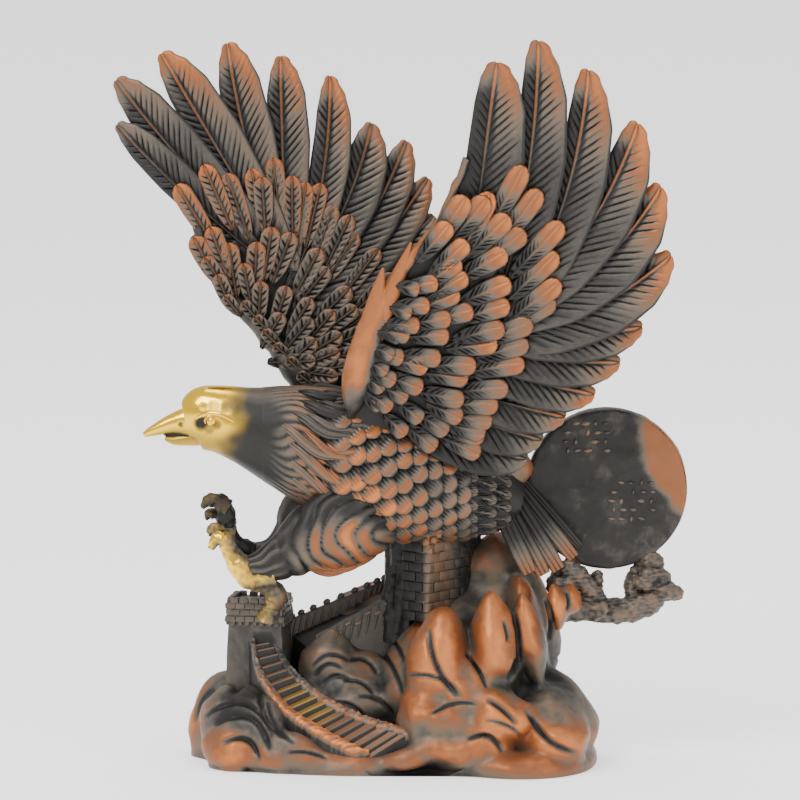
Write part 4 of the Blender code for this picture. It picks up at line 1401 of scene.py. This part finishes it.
def watchtower(sizes):
    """A square tower: a plain shaft with a dark doorway, a band of three brick courses and a toothed top."""
    shaft = tower_block(TOWER_FOOT, TOWER_BAND + 2, 0, 1.0, cuts=10)
    middle = at(TOWER_X, TOWER_BAND, TOWER_DEPTH)
    for vert in shaft.data.vertices:
        sunk = 1 - (vert.co.z / GRID - TOWER_FOOT) / (TOWER_BAND - TOWER_FOOT)
        grow = 1 + TOWER_SPREAD * sunk
        vert.co.x = middle.x + (vert.co.x - middle.x) * grow
        vert.co.y = middle.y + (vert.co.y - middle.y) * grow
    parts = [shaft]
    brick = brick_model(9.4, 4, COURSE - MORTAR, 0.7)
    for course in range(TOWER_COURSES):
        first = 0.5 + 0.5 * (course % 2)
        parts += round_tower(brick, BRICKS_A_SIDE, 2, 1, COURSE * (course + 0.5), first)
    band_top = TOWER_COURSES * COURSE
    parts.append(tower_block(TOWER_BAND, TOWER_BAND + band_top, 1, 0.4))
    tooth = brick_model(8, 6, 6, 1.0)
    dentil = brick_model(4.6, 4, 5, 0.8)
    parts += round_tower(tooth, 5, -1, -1, band_top + 2)
    parts += round_tower(dentil, 7, -1, 1, -1.5)
    for model in (brick, tooth, dentil):
        bpy.data.objects.remove(model)
    return masonry(joined("watchtower", parts), 0.29, 0.1, 11, DOORWAY)


WALL_REAR = ((-112, 138, 30), (-23, 175, 52), (14, 191, 60))
WALL_FRONT = ((-84, 124, -2), (6, 171, 16), (20, 178, 20))
WALL_STEPS = 40
# A wall's half thickness, how far below its top its foot lies, and how far it drops at each ring of points.
WALL_HALF = 5
WALL_FOOT = 75
WALL_DROPS = (3, 20, 40, WALL_FOOT)
# The two rows of short strokes that stand for courses of stone on the front wall.
STONES_A_ROW = 11
STONE_LENGTH = 5.4


def wall(sizes):
    """The walkway between two parapets, climbing to the right, with a toothed top and slanting hatches."""
    form = Form()
    half = BACK * WALL_HALF * GRID
    for line in (WALL_REAR, WALL_FRONT):
        rows = []
        for spot in [at(*place) for place in smooth_line(line, WALL_STEPS)]:
            ring = [spot - half * 0.7, spot, spot + half * 0.7]
            ring += [spot + half - lifted(drop) for drop in WALL_DROPS]
            ring += [spot - half - lifted(drop) for drop in reversed(WALL_DROPS)]
            rows.append([form.point(p + lifted(noise.noise(p / (4 * GRID))), 0.3) for p in ring])
        form.skin(rows)
    rows = []
    for places in zip(smooth_line(WALL_FRONT, WALL_STEPS), smooth_line(WALL_REAR, WALL_STEPS)):
        front, rear = (at(*place) for place in places)
        ring = [front.lerp(rear, t) - lifted(blend(20, 13, t)) for t in (0, 0.25, 0.5, 0.75, 1)]
        ring += [rear - lifted(WALL_FOOT), front - lifted(WALL_FOOT)]
        rows.append([form.point(p, 0.22) for p in ring])
    form.skin(rows)
    for i in range(sizes.merlons):
        x, z, depth = along(WALL_REAR, (i + 0.5) / sizes.merlons)
        start, end = at(x - 3.2, z - 0.5, depth), at(x + 3.2, z + 2.2, depth)
        merlon = [start, start.lerp(end, 0.5) + lifted(1.5), end]
        strand(form, merlon, (1.8, 3.2, 1.8), FRONT, 0.3, steps=5)
    for i in range(sizes.hatches):
        for line, reach, tone in ((WALL_REAR, 20, 0.46), (WALL_FRONT, 26, 0.34)):
            x, z, depth = along(line, (i + 0.5) / sizes.hatches)
            top = at(x + 2, z - 2, depth - 5)
            stroke(form, top, top + Vector((-5, 0, -reach)) * GRID, (1.0, 2.0, 0.9), tone)
    for course in range(2):
        for i in range(STONES_A_ROW):
            x, z, depth = along(WALL_FRONT, (i + 0.5 * course) / STONES_A_ROW)
            left = at(x, z - 6 - 5 * course, depth - 5.4)
            right = at(x + STONE_LENGTH, z - 3.3 - 5 * course, depth - 5)
            stroke(form, left, right, (1.4, 1.8, 1.4), 0.55)
    return finished(form.object("wall"), 40)


STAIR_LEFT = ((-151, 113, -26), (-143, 78, -46), (-118, 44, -70), (-82, 19, -90), (-44, -1, -104))
STAIR_RIGHT = ((-125, 116, -20), (-107, 86, -34), (-73, 57, -54), (-29, 37, -74), (19, 23, -90))
PARAPET_THICK = 0.22
PARAPET_RISE = 8
STAIR_ROWS = 8
STAIR_FOOT = 1
# The rings of one step: their share of its run and how proud they stand of its level.
STEP_RINGS = ((0, 0.0), (0.12, 1.0), (0.88, 1.0), (0.98, -0.6))
# A painted highlight in gold on the tread noses: its middle on the drawing and how far the gold reaches.
STEP_HIGHLIGHT = (-94, 56, 34)
# Across a parapet, from outside to inside: share of its thickness and of its rise.
PARAPET_ACROSS = ((0, 0.2), (0.06, 0.8), (0.3, 1.0), (0.6, 1.0), (0.9, 0.85), (1.0, 0.2))
PARAPET_STEPS = 110


def on_floor(place, height):
    """The point above or below a place at a height."""
    return Vector((place.x, place.y, height))


def stairs(sizes):
    """The flight of steps between two rough-topped parapets, falling from the door to the front."""
    form = Form()
    sides = (STAIR_LEFT, STAIR_RIGHT)
    rows = []
    for i in range(sizes.treads):
        level = [at(*along(side, i / sizes.treads)).z for side in sides]
        for step, nose in STEP_RINGS:
            share = (i + step) / sizes.treads
            left, right = (at(*along(side, share)) for side in sides)
            left, right = left.lerp(right, PARAPET_THICK), right.lerp(left, PARAPET_THICK)
            proud = nose > 0
            row = []
            for t in (k / STAIR_ROWS for k in range(STAIR_ROWS + 1)):
                spot = on_floor(left.lerp(right, t), blend(*level, t) + nose * GRID)
                x, z = drawn(spot)
                # A painted highlight: gold on the proud tread noses in a round patch where a highlight falls.
                painted_highlight = max(0.0, 1 - ((x - STEP_HIGHLIGHT[0]) ** 2 + (z - STEP_HIGHLIGHT[1]) ** 2) / STEP_HIGHLIGHT[2] ** 2)
                row.append(form.point(spot, 0.16 + 0.36 * proud, 0.3 * painted_highlight * proud))
            low_rub = blend(0.1, 0.42, ease(0.85, 1.0, share))
            row += [form.point(on_floor(spot, STAIR_FOOT * GRID), low_rub) for spot in (right, left)]
            rows.append(row)
    form.skin(rows)
    parapet(form, STAIR_LEFT, STAIR_RIGHT, 0.75)
    parapet(form, STAIR_RIGHT, STAIR_LEFT, 0.5)
    return finished(form.object("stairs"), 35)


def parapet(form, line, other, rub):
    """A low wall beside the steps with a rough, rubbed top."""
    rows = []
    for share in (i / PARAPET_STEPS for i in range(PARAPET_STEPS + 1)):
        outer = at(*along(line, share))
        inner = outer.lerp(at(*along(other, share)), PARAPET_THICK)
        warm = rub * blend(0.45, 1.0, ease(0.1, 0.6, share))
        ring = []
        for t, rise in PARAPET_ACROSS:
            spot = outer.lerp(inner, t)
            chip = noise.noise(spot / (3.2 * GRID)) * 1.6 + noise.noise(spot / (1.5 * GRID)) * 0.7
            top = rise > 0.5
            worn = warm * (0.3 + 0.7 * top) * (1 + 0.5 * chip)
            ring.append(form.point(spot + lifted(PARAPET_RISE * rise + chip * top), worn))
        ring += [form.point(on_floor(spot, STAIR_FOOT * GRID), 0.15) for spot in (inner, outer)]
        rows.append(ring)
    form.skin(rows)


# The brick tower under the breast, standing corner on.
BRICK_X = 42
BRICK_Y = 8
BRICK_TURN = 51
BRICK_LENGTH = 42
BRICK_DEPTH = 17
BRICK_FOOT = 142
COURSE_RISE = 10
BRICK_PITCH = 17
BRICK_THICK = 3
PIER = (
    (-2, 118, 20, 20, 22), (0, 150, 20, 19, 21), (2, 185, 20, 17, 20), (6, 215, 18, 22, 22),
    (10, 240, 16, 26, 24),
)
# Broken stones at the tower's top corner: place, depth and radius.
RUBBLE = (
    (24, 226, -30, 5), (31, 229, -32, 4.5), (38, 226, -33, 5), (26, 217, -32, 5), (34, 219, -34, 4),
    (43, 231, -33, 4), (30, 208, -33, 4), (50, 230, -30, 4),
)
# Where the painted light on the tower's lit face fades out to the right, and where the painted shade over its
# left face and the dark pier ends, on the drawing.
PAINTED_LIGHT_FACE = (44, 66)
PAINTED_SHADE_EDGE = (20, 25)


def brick_face(half, out, turn, courses):
    """Staggered bricks on two opposite faces of the brick tower."""
    foot = at(BRICK_X, BRICK_FOOT, BRICK_Y)
    spin = Matrix.Rotation(radians(BRICK_TURN), 3, "Z")
    count = max(2, round(2 * half / BRICK_PITCH))
    long = 2 * half / count
    whole, short = (
        brick_model(length - MORTAR, BRICK_THICK, COURSE_RISE - MORTAR, 0.5, 1) for length in (long, long / 2)
    )
    blocks = []
    for course in range(courses):
        for way in (-1, 1):
            for i in range(count + course % 2):
                across = (i + 0.5 * (1 - course % 2)) * long - half
                end = course % 2 and i in (0, count)
                if end:
                    across += long / 4 if i == 0 else -long / 4
                proud = 0.5 * noise.noise(Vector((i * 3.3, course * 1.9, way + turn)))
                away = way * (out - 1.2 + proud)
                spot = Vector((away, across, 0)) if turn else Vector((across, away, 0))
                place = foot + spin @ (spot * GRID) + lifted((course + 0.5) * COURSE_RISE)
                blocks.append(copied(short if end else whole, place, BRICK_TURN + turn))
    for model in (whole, short):
        bpy.data.objects.remove(model)
    return blocks


def brick_tower(sizes):
    """The square tower under the breast: a core with staggered bricks on every face, and a dark pier, with
    painted light on its lit face and painted shade on its left face.
    """
    height = sizes.courses * COURSE_RISE
    middle = at(BRICK_X, BRICK_FOOT, BRICK_Y) + lifted(height / 2)
    size = ((2 * BRICK_LENGTH - 3) * GRID, (2 * BRICK_DEPTH - 3) * GRID, height * GRID)
    parts = [cube("core", middle, size, BRICK_TURN, 0.4 * GRID)]
    parts += brick_face(BRICK_LENGTH, BRICK_DEPTH, 0, sizes.courses)
    parts += brick_face(BRICK_DEPTH, BRICK_LENGTH, 90, sizes.courses)
    mass = Form()
    tube(mass, PIER, 16, 40, shape=pier_shape)
    for x, z, depth, radius in RUBBLE:
        ball(mass, at(x, z, depth), radius * GRID, 0.7, 0.0, 5, 7)
    parts.append(mass.object("pier"))
    piece = joined("brick_tower", parts)
    surface = Surface(piece.data)
    surface.push(fractal(surface.points, 14, 21) * 1.1 + fractal(surface.points, 4, 22) * 0.4)
    x, z = surface.drawn()
    # lit: painted light, copper on the lit face fading out to the right; left: painted shade over the left
    # face and the pier.
    lit = 1 - step_up(*PAINTED_LIGHT_FACE, x)
    left = 1 - step_up(*PAINTED_SHADE_EDGE, x)
    rub = 0.16 + 0.28 * lit * (1 - left) + 0.1 * np.clip(surface.height(2), -1, 1)
    rub += 0.05 * fractal(surface.points, 20, 23)
    surface.store(rub * (1 - 0.72 * left))
    return finished(piece, 40)


def pier_shape(point, out, share, turn):
    """The dark mass beside the tower, cut by upright grooves."""
    groove = noise.noise(Vector((turn * 3.2, 0, share * 2.4)))
    return 5 * groove + 1.5 * noise.noise(point / (5 * GRID)), 0.1, 0.0


DISC_SEAT = (207, 190.8, 24)
DISC_RADIUS = 80.96
DISC_THICK = 22.3
DISC_RINGS = 22
DISC_SIDES = 120
DISC_BEVEL = 4.0
DISC_RIM = 6
# Where the coppery side of the disc begins on the drawing, and the height below which it bends away.
DISC_EDGE = 237
DISC_BEND = 290
# Groups of shallow strokes on the disc: place on the drawing, rows, strokes in a row, lean in degrees.
STROKES = ((186, 322, 4, 5, 6), (232, 258, 5, 5, -8))
STROKE_PITCH = (10, 9)
STROKE_REACH = 3.8
UPRIGHT = Vector((0.15, 0, 1)) * 3.2


def round_plate():
    """A plate with a rounded rim, its two faces divided into rings."""
    centre = at(*DISC_SEAT) + lifted(DISC_RADIUS)
    bpy.ops.object.select_all(action="DESELECT")
    bpy.ops.mesh.primitive_cylinder_add(
        vertices=DISC_SIDES, radius=DISC_RADIUS * GRID, depth=DISC_THICK * GRID, location=centre,
        rotation=(radians(90), 0, 0),
    )
    piece = bpy.context.object
    bpy.ops.object.transform_apply(location=True, rotation=True, scale=True)
    bpy.ops.object.mode_set(mode="EDIT")
    bpy.ops.mesh.select_all(action="SELECT")
    bpy.ops.mesh.bevel(offset=DISC_BEVEL * GRID, segments=4, affect="EDGES")
    bpy.ops.mesh.select_mode(type="FACE")
    for way in (-1, 1):
        bpy.ops.mesh.select_all(action="DESELECT")
        bpy.ops.object.mode_set(mode="OBJECT")
        for face in piece.data.polygons:
            face.select = len(face.vertices) > 20 and face.normal.y * way > 0.9
        bpy.ops.object.mode_set(mode="EDIT")
        for ring in range(DISC_RINGS):
            bpy.ops.mesh.inset(thickness=(DISC_RADIUS - DISC_RIM) / (DISC_RINGS + 1) * GRID)
    bpy.ops.mesh.select_mode(type="VERT")
    bpy.ops.object.mode_set(mode="OBJECT")
    return piece


def shallow_strokes(face):
    """Rows of short ridges, upright and slanting, on a face so many squares deep."""
    form = Form()
    for px, pz, count, many, lean in STROKES:
        slanting = Vector((1, 0, sin(radians(lean)))) * STROKE_REACH
        for row in range(count):
            for i in range(many):
                if (row * 3 + i * 2) % 5 == 0:
                    continue
                x = px + (i - (many - 1) / 2) * STROKE_PITCH[0] + 2 * (row % 2)
                z = pz - (row - (count - 1) / 2) * STROKE_PITCH[1]
                reach = (UPRIGHT if (row + i) % 3 == 0 else slanting) * GRID
                middle = at(x, z, face)
                stroke(form, middle - reach, middle + reach, (1.0, 2.0, 0.8), 0.42, 6, 8)
    return form.object("strokes")


def sun_disc(sizes):
    """The disc with its rounded rim and two groups of shallow strokes, coppery in its upper right."""
    face = DISC_SEAT[2] - DISC_THICK / 2
    piece = joined("sun_disc", [round_plate(), shallow_strokes(face)])
    surface = Surface(piece.data)
    surface.push(fractal(surface.points, 30, 31) * 1.2 + fractal(surface.points, 8, 32) * 0.35)
    x, z = surface.drawn()
    warp = fractal(surface.points, 24, 33)
    bent = np.maximum(0, DISC_BEND - z) * 0.9
    right = step_up(DISC_EDGE - 9, DISC_EDGE + 12, x + 6 * warp - bent)
    cloud = step_up(-0.3, 0.5, warp) * 0.12
    raised = 0.3 * step_up(0.8, 1.6, face - surface.points[:, 1] / GRID)
    edge = np.clip(surface.height(3), -1, 1) * 0.2
    surface.store(np.maximum(0.6 * right, 0.12 + cloud + edge) + raised * (1 - right) * 0.6)
    return finished(piece, 45)


# The needles' grain runs flat: how fine it is in x, y and z.
NEEDLES = (1.0, 0.4, 2.6)


def pine_branch(sizes):
    """The branch under the disc with its twig and clusters of needles."""
    form = bmesh.new()
    limbs = Form()
    tube(limbs, BRANCH, 6, 24)
    tube(limbs, TWIG, 6, 20)
    points = [form.verts.new(p) for p in limbs.points]
    for face in limbs.faces:
        form.faces.new([points[i] for i in face])
    for leaf in LEAVES:
        lump(form, *leaf, rounds=3)
    piece = joined_skin(form, "pine_branch", sizes.branch_step)
    surface = Surface(piece.data)
    surface.points[:] = surface.smooth(surface.points, 3)
    flow = np.array([noise.noise(Vector(p * NEEDLES) / (6 * GRID)) for p in surface.points])
    surface.push(flow * 1.6 + fractal(surface.points, 12, 41) * 1.8)
    worn = np.clip(0.16 * surface.height(14), -0.25, 0.3)
    surface.store(0.32 + worn + 0.08 * fractal(surface.points, 20, 42))
    return finished(piece, 70)


def metal():
    """Dark patina with copper rubbed through on the high spots and polished gold at the head and foot."""
    found = bpy.data.materials.get("patinated_copper_finish")
    if found:
        return found
    material = bpy.data.materials.new("patinated_copper_finish")
    material.use_nodes = True
    nodes, links = material.node_tree.nodes, material.node_tree.links
    shader = nodes["Principled BSDF"]

    def node(kind, **values):
        """A new node with its settings and the values of its sockets."""
        made = nodes.new(kind)
        for key, value in values.items():
            if key in made.inputs:
                made.inputs[key].default_value = value
            else:
                setattr(made, key, value)
        return made

    def math(operation, first, second):
        """A sum of two numbers or outputs."""
        made = node("ShaderNodeMath", operation=operation)
        for socket, value in zip(made.inputs, (first, second)):
            if isinstance(value, (int, float)):
                socket.default_value = value
            else:
                links.new(value, socket)
        return made.outputs[0]

    def grain(made, share):
        """A noise round zero, taken so strongly."""
        return math("MULTIPLY", math("SUBTRACT", made.outputs["Fac"], 0.5), share)

    place = node("ShaderNodeTexCoord").outputs["Object"]
    rub = node("ShaderNodeAttribute", attribute_name="rub").outputs["Fac"]
    gold = node("ShaderNodeAttribute", attribute_name="gold").outputs["Fac"]
    broad = node("ShaderNodeTexNoise", Scale=55.0, Detail=6.0, Roughness=0.6)
    fine = node("ShaderNodeTexNoise", Scale=620.0, Detail=5.0, Roughness=0.65)
    for made in (broad, fine):
        links.new(place, made.inputs["Vector"])

    worn = math("ADD", math("ADD", rub, grain(broad, 0.1)), grain(fine, 0.14))
    mix = node("ShaderNodeMix", data_type="RGBA")
    links.new(math("ADD", gold, grain(broad, math("MULTIPLY", gold, 0.4))), mix.inputs["Factor"])
    links.new(copper_ramp(node("ShaderNodeValToRGB"), worn, links), mix.inputs[6])
    mix.inputs[7].default_value = (*bpy.context.scene.eagle_colours.gold, 1)
    links.new(mix.outputs[2], shader.inputs["Base Color"])

    shader.inputs["Specular IOR Level"].default_value = 0.26
    metallic = math("ADD", math("MULTIPLY", rub, 0.5), math("ADD", math("MULTIPLY", gold, 0.85), 0.15))
    links.new(metallic, shader.inputs["Metallic"])
    dull = math("SUBTRACT", 0.46, math("MULTIPLY", gold, 0.3))
    links.new(math("ADD", dull, grain(fine, 0.2)), shader.inputs["Roughness"])

    bump = node("ShaderNodeBump", Strength=0.22, Distance=0.0004)
    fine_height = math("MULTIPLY", fine.outputs["Fac"], 0.6)
    broad_height = math("MULTIPLY", broad.outputs["Fac"], 0.4)
    links.new(math("ADD", fine_height, broad_height), bump.inputs["Height"])
    links.new(bump.outputs["Normal"], shader.inputs["Normal"])
    return material


def copper_ramp(ramp, worn, links):
    """The colour of the metal, from the deepest patina to bright copper, by how worn it is."""
    colours = bpy.context.scene.eagle_colours
    stops = (
        (0.0, colours.deep), (0.2, colours.patina), (0.32, colours.grey), (0.44, colours.wash),
        (0.62, colours.red_copper), (0.92, colours.copper),
    )
    links.new(worn, ramp.inputs["Fac"])
    elements = ramp.color_ramp.elements
    elements[0].position = stops[0][0]
    elements[1].position = stops[-1][0]
    for position, colour in stops[1:-1]:
        elements.new(position)
    for element, (position, colour) in zip(elements, stops):
        element.position = position
        element.color = (*colour, 1)
    return ramp.outputs["Color"]


PICTURE_SQUARES = 800
PICTURE_MIDDLE = 359
LENS = 500
SENSOR = 36
FAR_CLIP = 200
FLOOR_RADIUS = 60
FLOOR_DROP = 0.0002
WHITE = (1, 1, 1, 1)
PALE = (0.93, 0.93, 0.93, 1)
# The soft lights: their place from the ornament's middle, their size in metres and their power in watts.
SOFTBOXES = {
    "key": ((-0.75, -1.1, 1.25), 0.9, 26),
    "fill": ((1.2, -1.2, 0.5), 1.0, 9),
    "top": ((0.1, 0.5, 1.6), 1.0, 14),
}


def stage():
    """A plain pale floor, soft studio light and the camera at the photo's angle."""
    pale_floor()
    world = bpy.data.worlds.new("studio")
    world.use_nodes = True
    fill_in(world.node_tree.nodes["Background"], {"Color": WHITE, "Strength": 1.0})
    bpy.context.scene.world = world

    middle = at(0, PICTURE_MIDDLE)
    for name, (offset, size, power) in SOFTBOXES.items():
        softbox(name, middle, Vector(offset), size, power)

    lens = bpy.data.cameras.new("camera")
    lens.lens = LENS
    lens.sensor_width = SENSOR
    lens.clip_end = FAR_CLIP
    camera = linked("camera", lens)
    distance = PICTURE_SQUARES * GRID * LENS / SENSOR
    camera.location = middle + Vector((0, -cos(VIEW_TILT), sin(VIEW_TILT))) * distance
    camera.rotation_euler = (pi / 2 - VIEW_TILT, 0, 0)
    bpy.context.scene.camera = camera


def fill_in(node, values):
    """Sets a node's own sockets by name."""
    for name, value in values.items():
        node.inputs[name].default_value = value


def pale_floor():
    """A wide pale sheet just below the ornament, lit a little from within."""
    bpy.ops.object.select_all(action="DESELECT")
    bpy.ops.mesh.primitive_circle_add(
        vertices=64, radius=FLOOR_RADIUS, fill_type="NGON", location=(0, 0, -FLOOR_DROP))
    floor = bpy.context.object
    floor.name = "floor"
    bpy.ops.object.transform_apply(location=True)
    paint = bpy.data.materials.new("pale_floor")
    paint.use_nodes = True
    fill_in(paint.node_tree.nodes["Principled BSDF"], {
        "Base Color": PALE, "Roughness": 0.9, "Emission Color": WHITE, "Emission Strength": 0.8,
    })
    floor.data.materials.append(paint)


def softbox(name, target, offset, size, power):
    """A square soft light that faces the ornament."""
    light = bpy.data.lights.new(name, "AREA")
    light.shape = "SQUARE"
    light.size = size
    light.energy = power
    lamp = linked(name, light)
    lamp.location = target + offset
    lamp.rotation_euler = (-offset).to_track_quat("-Z", "Y").to_euler()


class EagleColours(bpy.types.PropertyGroup):
    """The finish, from the deepest patina to polished gold."""

    deep: FloatVectorProperty(
        name="Deep patina", description="In the grooves", subtype="COLOR", min=0, max=1,
        default=(0.009, 0.0082, 0.0075),
    )
    patina: FloatVectorProperty(
        name="Patina", description="On sunk faces", subtype="COLOR", min=0, max=1,
        default=(0.0235, 0.0213, 0.019),
    )
    grey: FloatVectorProperty(
        name="Grey", description="On faintly rubbed faces", subtype="COLOR", min=0, max=1,
        default=(0.068, 0.06, 0.051),
    )
    wash: FloatVectorProperty(
        name="Grey wash", description="Where the patina is thin", subtype="COLOR", min=0, max=1,
        default=(0.128, 0.094, 0.066),
    )
    red_copper: FloatVectorProperty(
        name="Red copper", description="Lightly rubbed", subtype="COLOR", min=0, max=1,
        default=(0.245, 0.083, 0.031),
    )
    copper: FloatVectorProperty(
        name="Copper", description="Rubbed bright", subtype="COLOR", min=0, max=1,
        default=(0.49, 0.168, 0.05),
    )
    gold: FloatVectorProperty(
        name="Gold", description="On the head and near foot", subtype="COLOR", min=0, max=1,
        default=(0.9, 0.55, 0.035),
    )


class EagleSizes(bpy.types.PropertyGroup):
    """Sizes of the relief that a user may change."""

    rock_step: FloatProperty(
        name="Rock step", description="Spacing of the rock's points",
        default=0.00095, min=0.0005, unit="LENGTH",
    )
    branch_step: FloatProperty(
        name="Branch step", description="Spacing of the branch's points",
        default=0.00065, min=0.0003, unit="LENGTH",
    )
    scale_rows: IntProperty(
        name="Scale rows", description="Round scales in half a ring of the trunk", default=8, min=4,
    )
    treads: IntProperty(name="Treads", description="Steps in the stairs", default=18, min=4)
    merlons: IntProperty(name="Merlons", description="Teeth on the wall", default=15, min=2)
    hatches: IntProperty(name="Hatches", description="Slanting strokes on the wall", default=26, min=2)
    courses: IntProperty(name="Courses", description="Rows of bricks in the brick tower", default=9, min=2)


class EagleOperator:
    """What the operators below share: each models one piece from the sizes in the panel."""

    bl_options = {"REGISTER", "UNDO"}

    def execute(self, context):
        type(self).make(context.scene.eagle_sizes)
        return {"FINISHED"}


class EAGLE_OT_near_wing(EagleOperator, bpy.types.Operator):
    """Model the near wing, feather by feather."""

    bl_idname = "eagle.near_wing"
    bl_label = "Near wing"
    make = near_wing


class EAGLE_OT_far_wing(EagleOperator, bpy.types.Operator):
    """Model the far wing, seen from inside."""

    bl_idname = "eagle.far_wing"
    bl_label = "Far wing"
    make = far_wing


class EAGLE_OT_body(EagleOperator, bpy.types.Operator):
    """Model the body with its scales, locks, thighs and tail."""

    bl_idname = "eagle.body"
    bl_label = "Body"
    make = body


class EAGLE_OT_head(EagleOperator, bpy.types.Operator):
    """Model the golden head."""

    bl_idname = "eagle.head"
    bl_label = "Head"
    make = head


class EAGLE_OT_feet(EagleOperator, bpy.types.Operator):
    """Model both feet."""

    bl_idname = "eagle.feet"
    bl_label = "Feet"
    make = feet


class EAGLE_OT_rock(EagleOperator, bpy.types.Operator):
    """Model the rock base."""

    bl_idname = "eagle.rock"
    bl_label = "Rock base"
    make = rock_base


class EAGLE_OT_watchtower(EagleOperator, bpy.types.Operator):
    """Model the watchtower."""

    bl_idname = "eagle.watchtower"
    bl_label = "Watchtower"
    make = watchtower


class EAGLE_OT_wall(EagleOperator, bpy.types.Operator):
    """Model the climbing wall."""

    bl_idname = "eagle.wall"
    bl_label = "Wall"
    make = wall


class EAGLE_OT_stairs(EagleOperator, bpy.types.Operator):
    """Model the stairs and their parapets."""

    bl_idname = "eagle.stairs"
    bl_label = "Stairs"
    make = stairs


class EAGLE_OT_brick_tower(EagleOperator, bpy.types.Operator):
    """Model the brick tower, brick by brick."""

    bl_idname = "eagle.brick_tower"
    bl_label = "Brick tower"
    make = brick_tower


class EAGLE_OT_disc(EagleOperator, bpy.types.Operator):
    """Model the sun disc."""

    bl_idname = "eagle.disc"
    bl_label = "Sun disc"
    make = sun_disc


class EAGLE_OT_branch(EagleOperator, bpy.types.Operator):
    """Model the pine branch."""

    bl_idname = "eagle.branch"
    bl_label = "Pine branch"
    make = pine_branch


class EAGLE_OT_stage(bpy.types.Operator):
    """Set the floor, the lights and the camera."""

    bl_idname = "eagle.stage"
    bl_label = "Stage"

    def execute(self, context):
        stage()
        return {"FINISHED"}


PIECES = (
    EAGLE_OT_near_wing, EAGLE_OT_far_wing, EAGLE_OT_body, EAGLE_OT_head, EAGLE_OT_feet, EAGLE_OT_rock,
    EAGLE_OT_watchtower, EAGLE_OT_wall, EAGLE_OT_stairs, EAGLE_OT_brick_tower, EAGLE_OT_disc, EAGLE_OT_branch,
    EAGLE_OT_stage,
)


class EAGLE_PT_panel(bpy.types.Panel):
    """Lists the pieces, the finish and the sizes."""

    bl_label = "Eagle ornament"
    bl_idname = "EAGLE_PT_panel"
    bl_space_type = "VIEW_3D"
    bl_region_type = "UI"
    bl_category = "Eagle"

    def draw(self, context):
        for group in (context.scene.eagle_sizes, context.scene.eagle_colours):
            for name in group.__annotations__:
                self.layout.prop(group, name)
        for piece in PIECES:
            self.layout.operator(piece.bl_idname)


CLASSES = (EagleColours, EagleSizes, EAGLE_PT_panel) + PIECES


def register():
    """Adds the panel, the operators and the settings to Blender."""
    for each in CLASSES:
        bpy.utils.register_class(each)
    bpy.types.Scene.eagle_colours = PointerProperty(type=EagleColours)
    bpy.types.Scene.eagle_sizes = PointerProperty(type=EagleSizes)


def unregister():
    """Takes them away again."""
    del bpy.types.Scene.eagle_colours
    del bpy.types.Scene.eagle_sizes
    for each in reversed(CLASSES):
        bpy.utils.unregister_class(each)


def main():
    """Registers the add-on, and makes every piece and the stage."""
    register()
    for piece in PIECES:
        group, name = piece.bl_idname.split(".")
        getattr(getattr(bpy.ops, group), name)()


if __name__ == "__main__":
    main()
